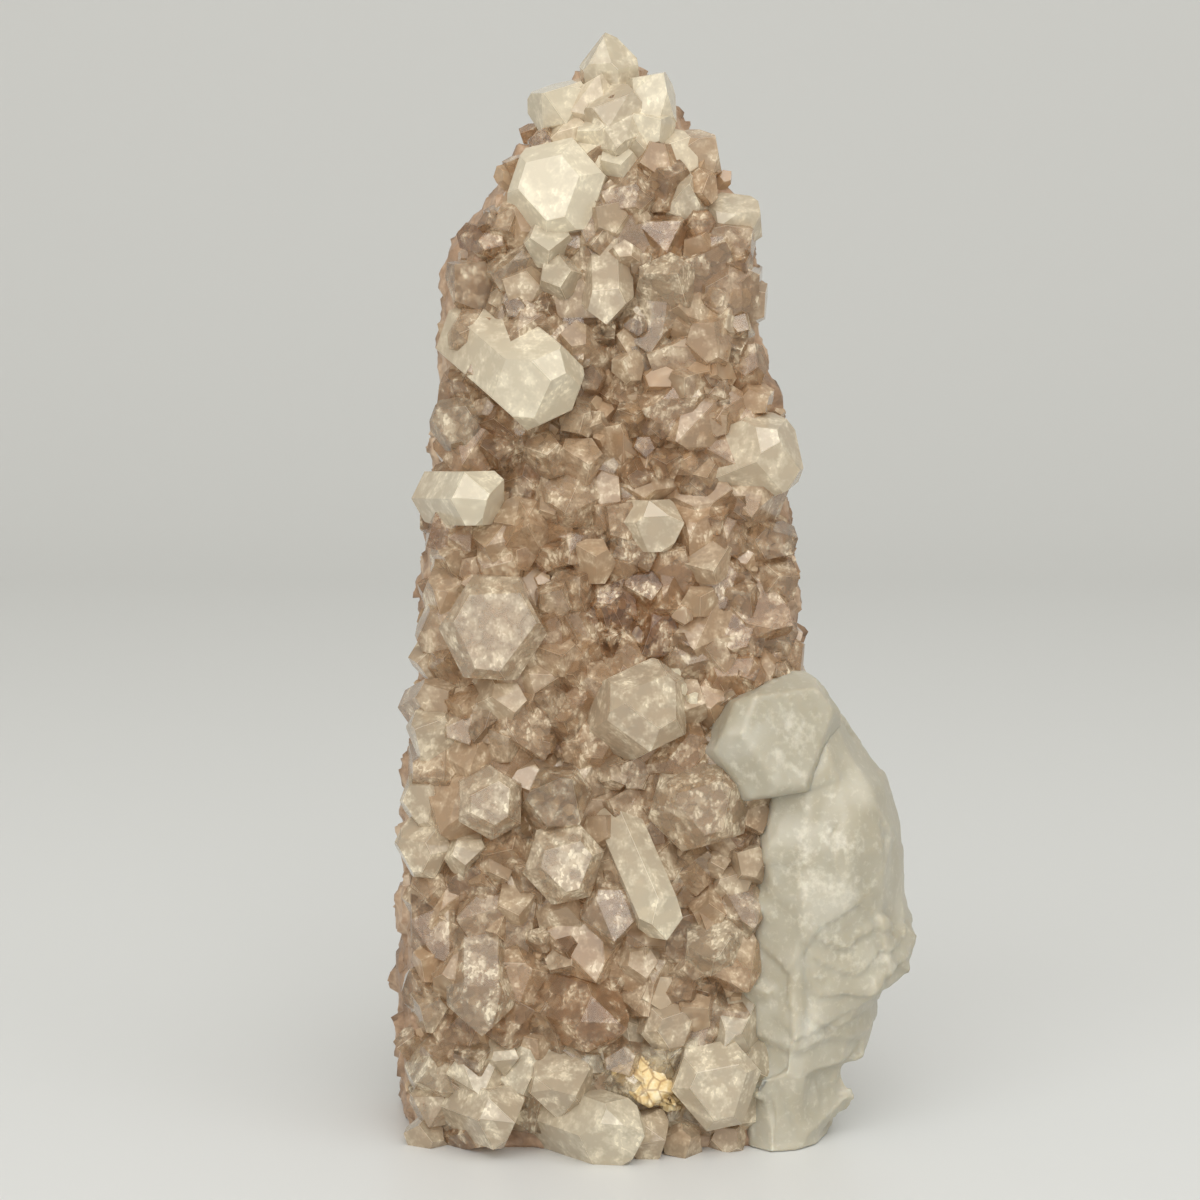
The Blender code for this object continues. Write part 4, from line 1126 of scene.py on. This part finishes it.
# %% The milky mass and its crystal
# Loose chips that are caught at the mass's foot, as their own corners.
SHARDS = (
    ((20.4, -9.0, 8.4), (24.4, -8.0, 8.9), (24.8, -7.4, 11.8), (20.8, -9.6, 12.6), (20.4, 0.0, 8.6),
     (24.2, -1.0, 9.2), (24.2, -1.4, 12.0), (20.6, 0.0, 12.8)),
    ((18.6, -10.6, 5.6), (21.4, -9.6, 6.4), (21.6, -9.0, 8.4), (19.2, -11.0, 9.2), (18.6, -2.0, 5.6),
     (21.6, -3.0, 6.8), (21.0, -3.0, 8.8), (19.0, -2.0, 9.4)),
)
MASS_VOXEL = 0.40 * MM
# The long upper left edge of the milky crystal's head, as two (x, z) places. It cuts one corner off.
HEAD_CUT = ((16.6, 54.3), (6.2, 49.7))


def cut_corner(mesh, line):
    """Cut off what is above a line in the front view, and close the cut."""
    (x, z), (end_x, end_z) = line
    bmesh.ops.bisect_plane(mesh, geom=mesh.verts[:] + mesh.edges[:] + mesh.faces[:], clear_outer=True,
                           plane_co=(x, 0, z), plane_no=(end_z - z, 0, x - end_x))
    bmesh.ops.holes_fill(mesh, edges=[edge for edge in mesh.edges if edge.is_boundary])
    return mesh


for grown in [hull_of([Vector(corner) for corner in corners]) for corners in SHARDS] + mass_crystals:
    grown_mesh = bpy.data.meshes.new("grown")
    grown.to_mesh(grown_mesh)
    grown.free()
    mass_lump.from_mesh(grown_mesh)
    bpy.data.meshes.remove(grown_mesh)
mass = smoothed(remeshed(as_object(mass_lump, "milky_mass"), MASS_VOXEL), 8)
points, faces = read_points(mass, "co"), read_points(mass, "normal")
moved(mass, mass_relief(points, faces) + 0.1)
smoothed(mass, 3)
clouded(mass)
print("milky mass:", triangles(mass), "triangles")
milky_head = smoothed(remeshed(as_object(cut_corner(milky_crystal, HEAD_CUT), "milky_crystal"), MASS_VOXEL), 1)
moved(milky_head, broken_relief(read_points(milky_head, "co"), 3.0, 0.02, 12))
clouded(milky_head)
print("milky crystal:", triangles(milky_head), "triangles")

# %% [markdown]
# Milky quartz is white because it holds countless drops of fluid, each far too small to see: light goes in,
# is scattered and comes out again near by. That is what subsurface light is for. A little plain transmission
# keeps its thin edges alive, and cottony wisps are thicker clouds of the same drops.

# %% Milky quartz
WISP = 0.9 * MM
SHADE = 5.0 * MM


def milky_quartz(name, clear):
    """Quartz clouded by fluid, with cottony wisps where the mesh says so."""
    made, tree = empty_material(name)
    place = node(tree, "ShaderNodeTexCoord", out="Object")
    cloud = node(tree, "ShaderNodeAttribute", {"attribute_name": "cloud"}, out="Fac")
    wisps = node(tree, "ShaderNodeTexNoise", {"Scale": 1 / WISP, "Detail": 5.0, "Roughness": 0.65}, {0: place})
    shades = node(tree, "ShaderNodeTexNoise", {"Scale": 1 / SHADE, "Detail": 4.0}, {0: place})
    cottony = node(tree, "ShaderNodeMath", {"operation": "MULTIPLY_ADD", 1: 0.18}, {0: cloud, 2: wisps})
    cotton = node(tree, "ShaderNodeValToRGB", {"stops": ((0.53, 0.0), (0.79, 0.6))}, {0: cottony})
    base = node(tree, "ShaderNodeValToRGB",
                {"stops": ((0.38, "#B9B29E"), (0.55, "#C0BAA8"), (0.68, "#C8C3B3"))}, {0: shades})
    white = node(tree, "ShaderNodeMix", {"data_type": "RGBA", 7: "#EBE6D6"}, {0: cotton, 6: base}, 2)
    rough = node(tree, "ShaderNodeValToRGB", {"stops": ((0.35, 0.30), (0.7, 0.5))}, {0: shades})
    bump = node(tree, "ShaderNodeBump", {"Strength": 0.15, "Distance": 0.2 * MM}, {"Height": wisps})
    skin = node(tree, "ShaderNodeBsdfPrincipled",
                {"IOR": QUARTZ_IOR, "Transmission Weight": clear, "Subsurface Weight": 0.8,
                 "Subsurface Radius": (1.0, 0.8, 0.6), "Subsurface Scale": 1.2 * MM},
                {"Base Color": white, "Roughness": rough, "Normal": bump})
    node(tree, "ShaderNodeOutputMaterial", None, {"Surface": skin})
    return made


painted(mass, milky_quartz("massive_milky_quartz", 0.15))
painted(milky_head, milky_quartz("grown_milky_quartz", 0.2))

# %% [markdown]
# The limonite is a crumb of earthy iron oxide, caught between the crystals of the foot. It broke into blocks
# and dried, so dark cracks run between them. Its hull comes from a few corners and its blocks from the same
# broken relief as the rock's, on finer cells.

# %% The limonite
CHIP = ((-4.2, -14.8, 9.2), (3.2, -15.2, 5.2), (1.4, -17.4, 6.6), (-1.2, -16.6, 6.2), (-2.4, -15.4, 10.8),
        (1.2, -14.6, 11.4), (2.2, -13.0, 9.0), (-3.0, -12.0, 7.2), (1.0, -12.0, 5.6))
BLOCK = 1.8
chip = remeshed(as_object(hull_of([Vector(corner) for corner in CHIP]), "limonite_chip"), 0.20 * MM)
moved(chip, broken_relief(read_points(chip, "co"), BLOCK, 0.28, 21))
print("limonite:", triangles(chip), "triangles")


def limonite():
    """Earthy pale yellow blocks with brown cracks, dull all over."""
    made, tree = empty_material("earthy_limonite")
    place = node(tree, "ShaderNodeTexCoord", out="Object")
    powder = node(tree, "ShaderNodeTexNoise", {"Scale": 1 / (0.8 * MM), "Detail": 5.0}, {0: place})
    cracks = node(tree, "ShaderNodeTexVoronoi", {"feature": "DISTANCE_TO_EDGE", "Scale": 1 / (BLOCK * MM)},
                  {"Vector": place})
    earth = node(tree, "ShaderNodeValToRGB",
                 {"stops": ((0.35, "#D2B57F"), (0.5, "#E2CC9C"), (0.7, "#EFE3C4"))}, {0: powder})
    open_crack = node(tree, "ShaderNodeValToRGB", {"stops": ((0.02, 0.6), (0.08, 0.0))}, {0: cracks})
    cracked_earth = node(tree, "ShaderNodeMix", {"data_type": "RGBA", 7: "#8A6644"}, {0: open_crack, 6: earth}, 2)
    skin = node(tree, "ShaderNodeBsdfPrincipled", {"Roughness": 0.8}, {"Base Color": cracked_earth})
    node(tree, "ShaderNodeOutputMaterial", None, {"Surface": skin})
    return made


painted(chip, limonite())

# %% [markdown]
# A stone like this is photographed on a plain sweep: a sheet that curves up behind it, so no horizon shows.
# It is one strip of faces along a profile, and it stays out of the part itself.

# %% The pale sweep
def sweep(reach, bend, height):
    """A floor that curves up into a wall far behind, as one smooth sheet."""
    profile = [(-1.5, 0.0), (reach - bend, 0.0)]
    profile += [(reach - bend + bend * math.sin(a), bend - bend * math.cos(a))
                for a in np.linspace(0.1, math.pi / 2, 14)]
    profile.append((reach, height))
    mesh = bmesh.new()
    edges = [[mesh.verts.new((x, y, z)) for x in (-2.5, 2.5)] for y, z in profile]
    for (a, b), (c, d) in zip(edges, edges[1:]):
        mesh.faces.new((a, b, d, c)).smooth = True
    data = bpy.data.meshes.new("floor")
    mesh.to_mesh(data)
    mesh.free()
    sheet = bpy.data.objects.new("floor", data)
    bpy.context.scene.collection.objects.link(sheet)
    return sheet


floor = sweep(1.3, 0.6, 2.4)
paper, paper_tree = empty_material("pale_card")
card = node(paper_tree, "ShaderNodeBsdfPrincipled", {"Base Color": "#DDDFDF", "Roughness": 0.4})
node(paper_tree, "ShaderNodeOutputMaterial", None, {"Surface": card})
painted(floor, paper)

# %% [markdown]
# The light is soft and comes mostly from the front. A hard side light would draw every small face, but here
# the crystals have to read as merged, so one broad box stands before them, a second one fills from above,
# and the pale surroundings do the rest.

# %% Soft light
def softbox(name, place, size, power):
    """A square soft light that looks at the tower."""
    data = bpy.data.lights.new(name, "AREA")
    data.size = size
    data.energy = power
    light = bpy.data.objects.new(name, data)
    light.location = place
    light.rotation_euler = (Vector((0, 0, 0.06)) - Vector(place)).to_track_quat("-Z", "Y").to_euler()
    bpy.context.scene.collection.objects.link(light)
    print(name, "box:", power, "W,", size, "m")


softbox("key", (-0.25, -1.1, 0.60), 1.5, 13.2)
softbox("fill", (0.35, -0.6, 0.9), 1.0, 4.5)
bpy.context.scene.view_settings.view_transform = "Standard"
world = bpy.data.worlds.new("studio")
bpy.context.scene.world = world
world.use_nodes = True
world.node_tree.nodes["Background"].inputs["Color"].default_value = colour("#ECE7DC")
world.node_tree.nodes["Background"].inputs["Strength"].default_value = 0.66

# %% [markdown]
# Last, every piece is handed to the frame: it rides on the one body, and the one solid that it stands for is
# hidden.

# %% Ride and replace
PIECES = ((tower, "hematoid_quartz"), (fine_druse, "hematoid_quartz"), (quartz_crystals, "pale_quartz"),
          (mass, "milky_quartz"), (milky_head, "milky_quartz"), (chip, "limonite"))
for piece, finish in PIECES:
    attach(piece, "root")
    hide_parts("quartz_cluster")
print("triangles in all:", sum(triangles(piece) for piece, _ in PIECES))
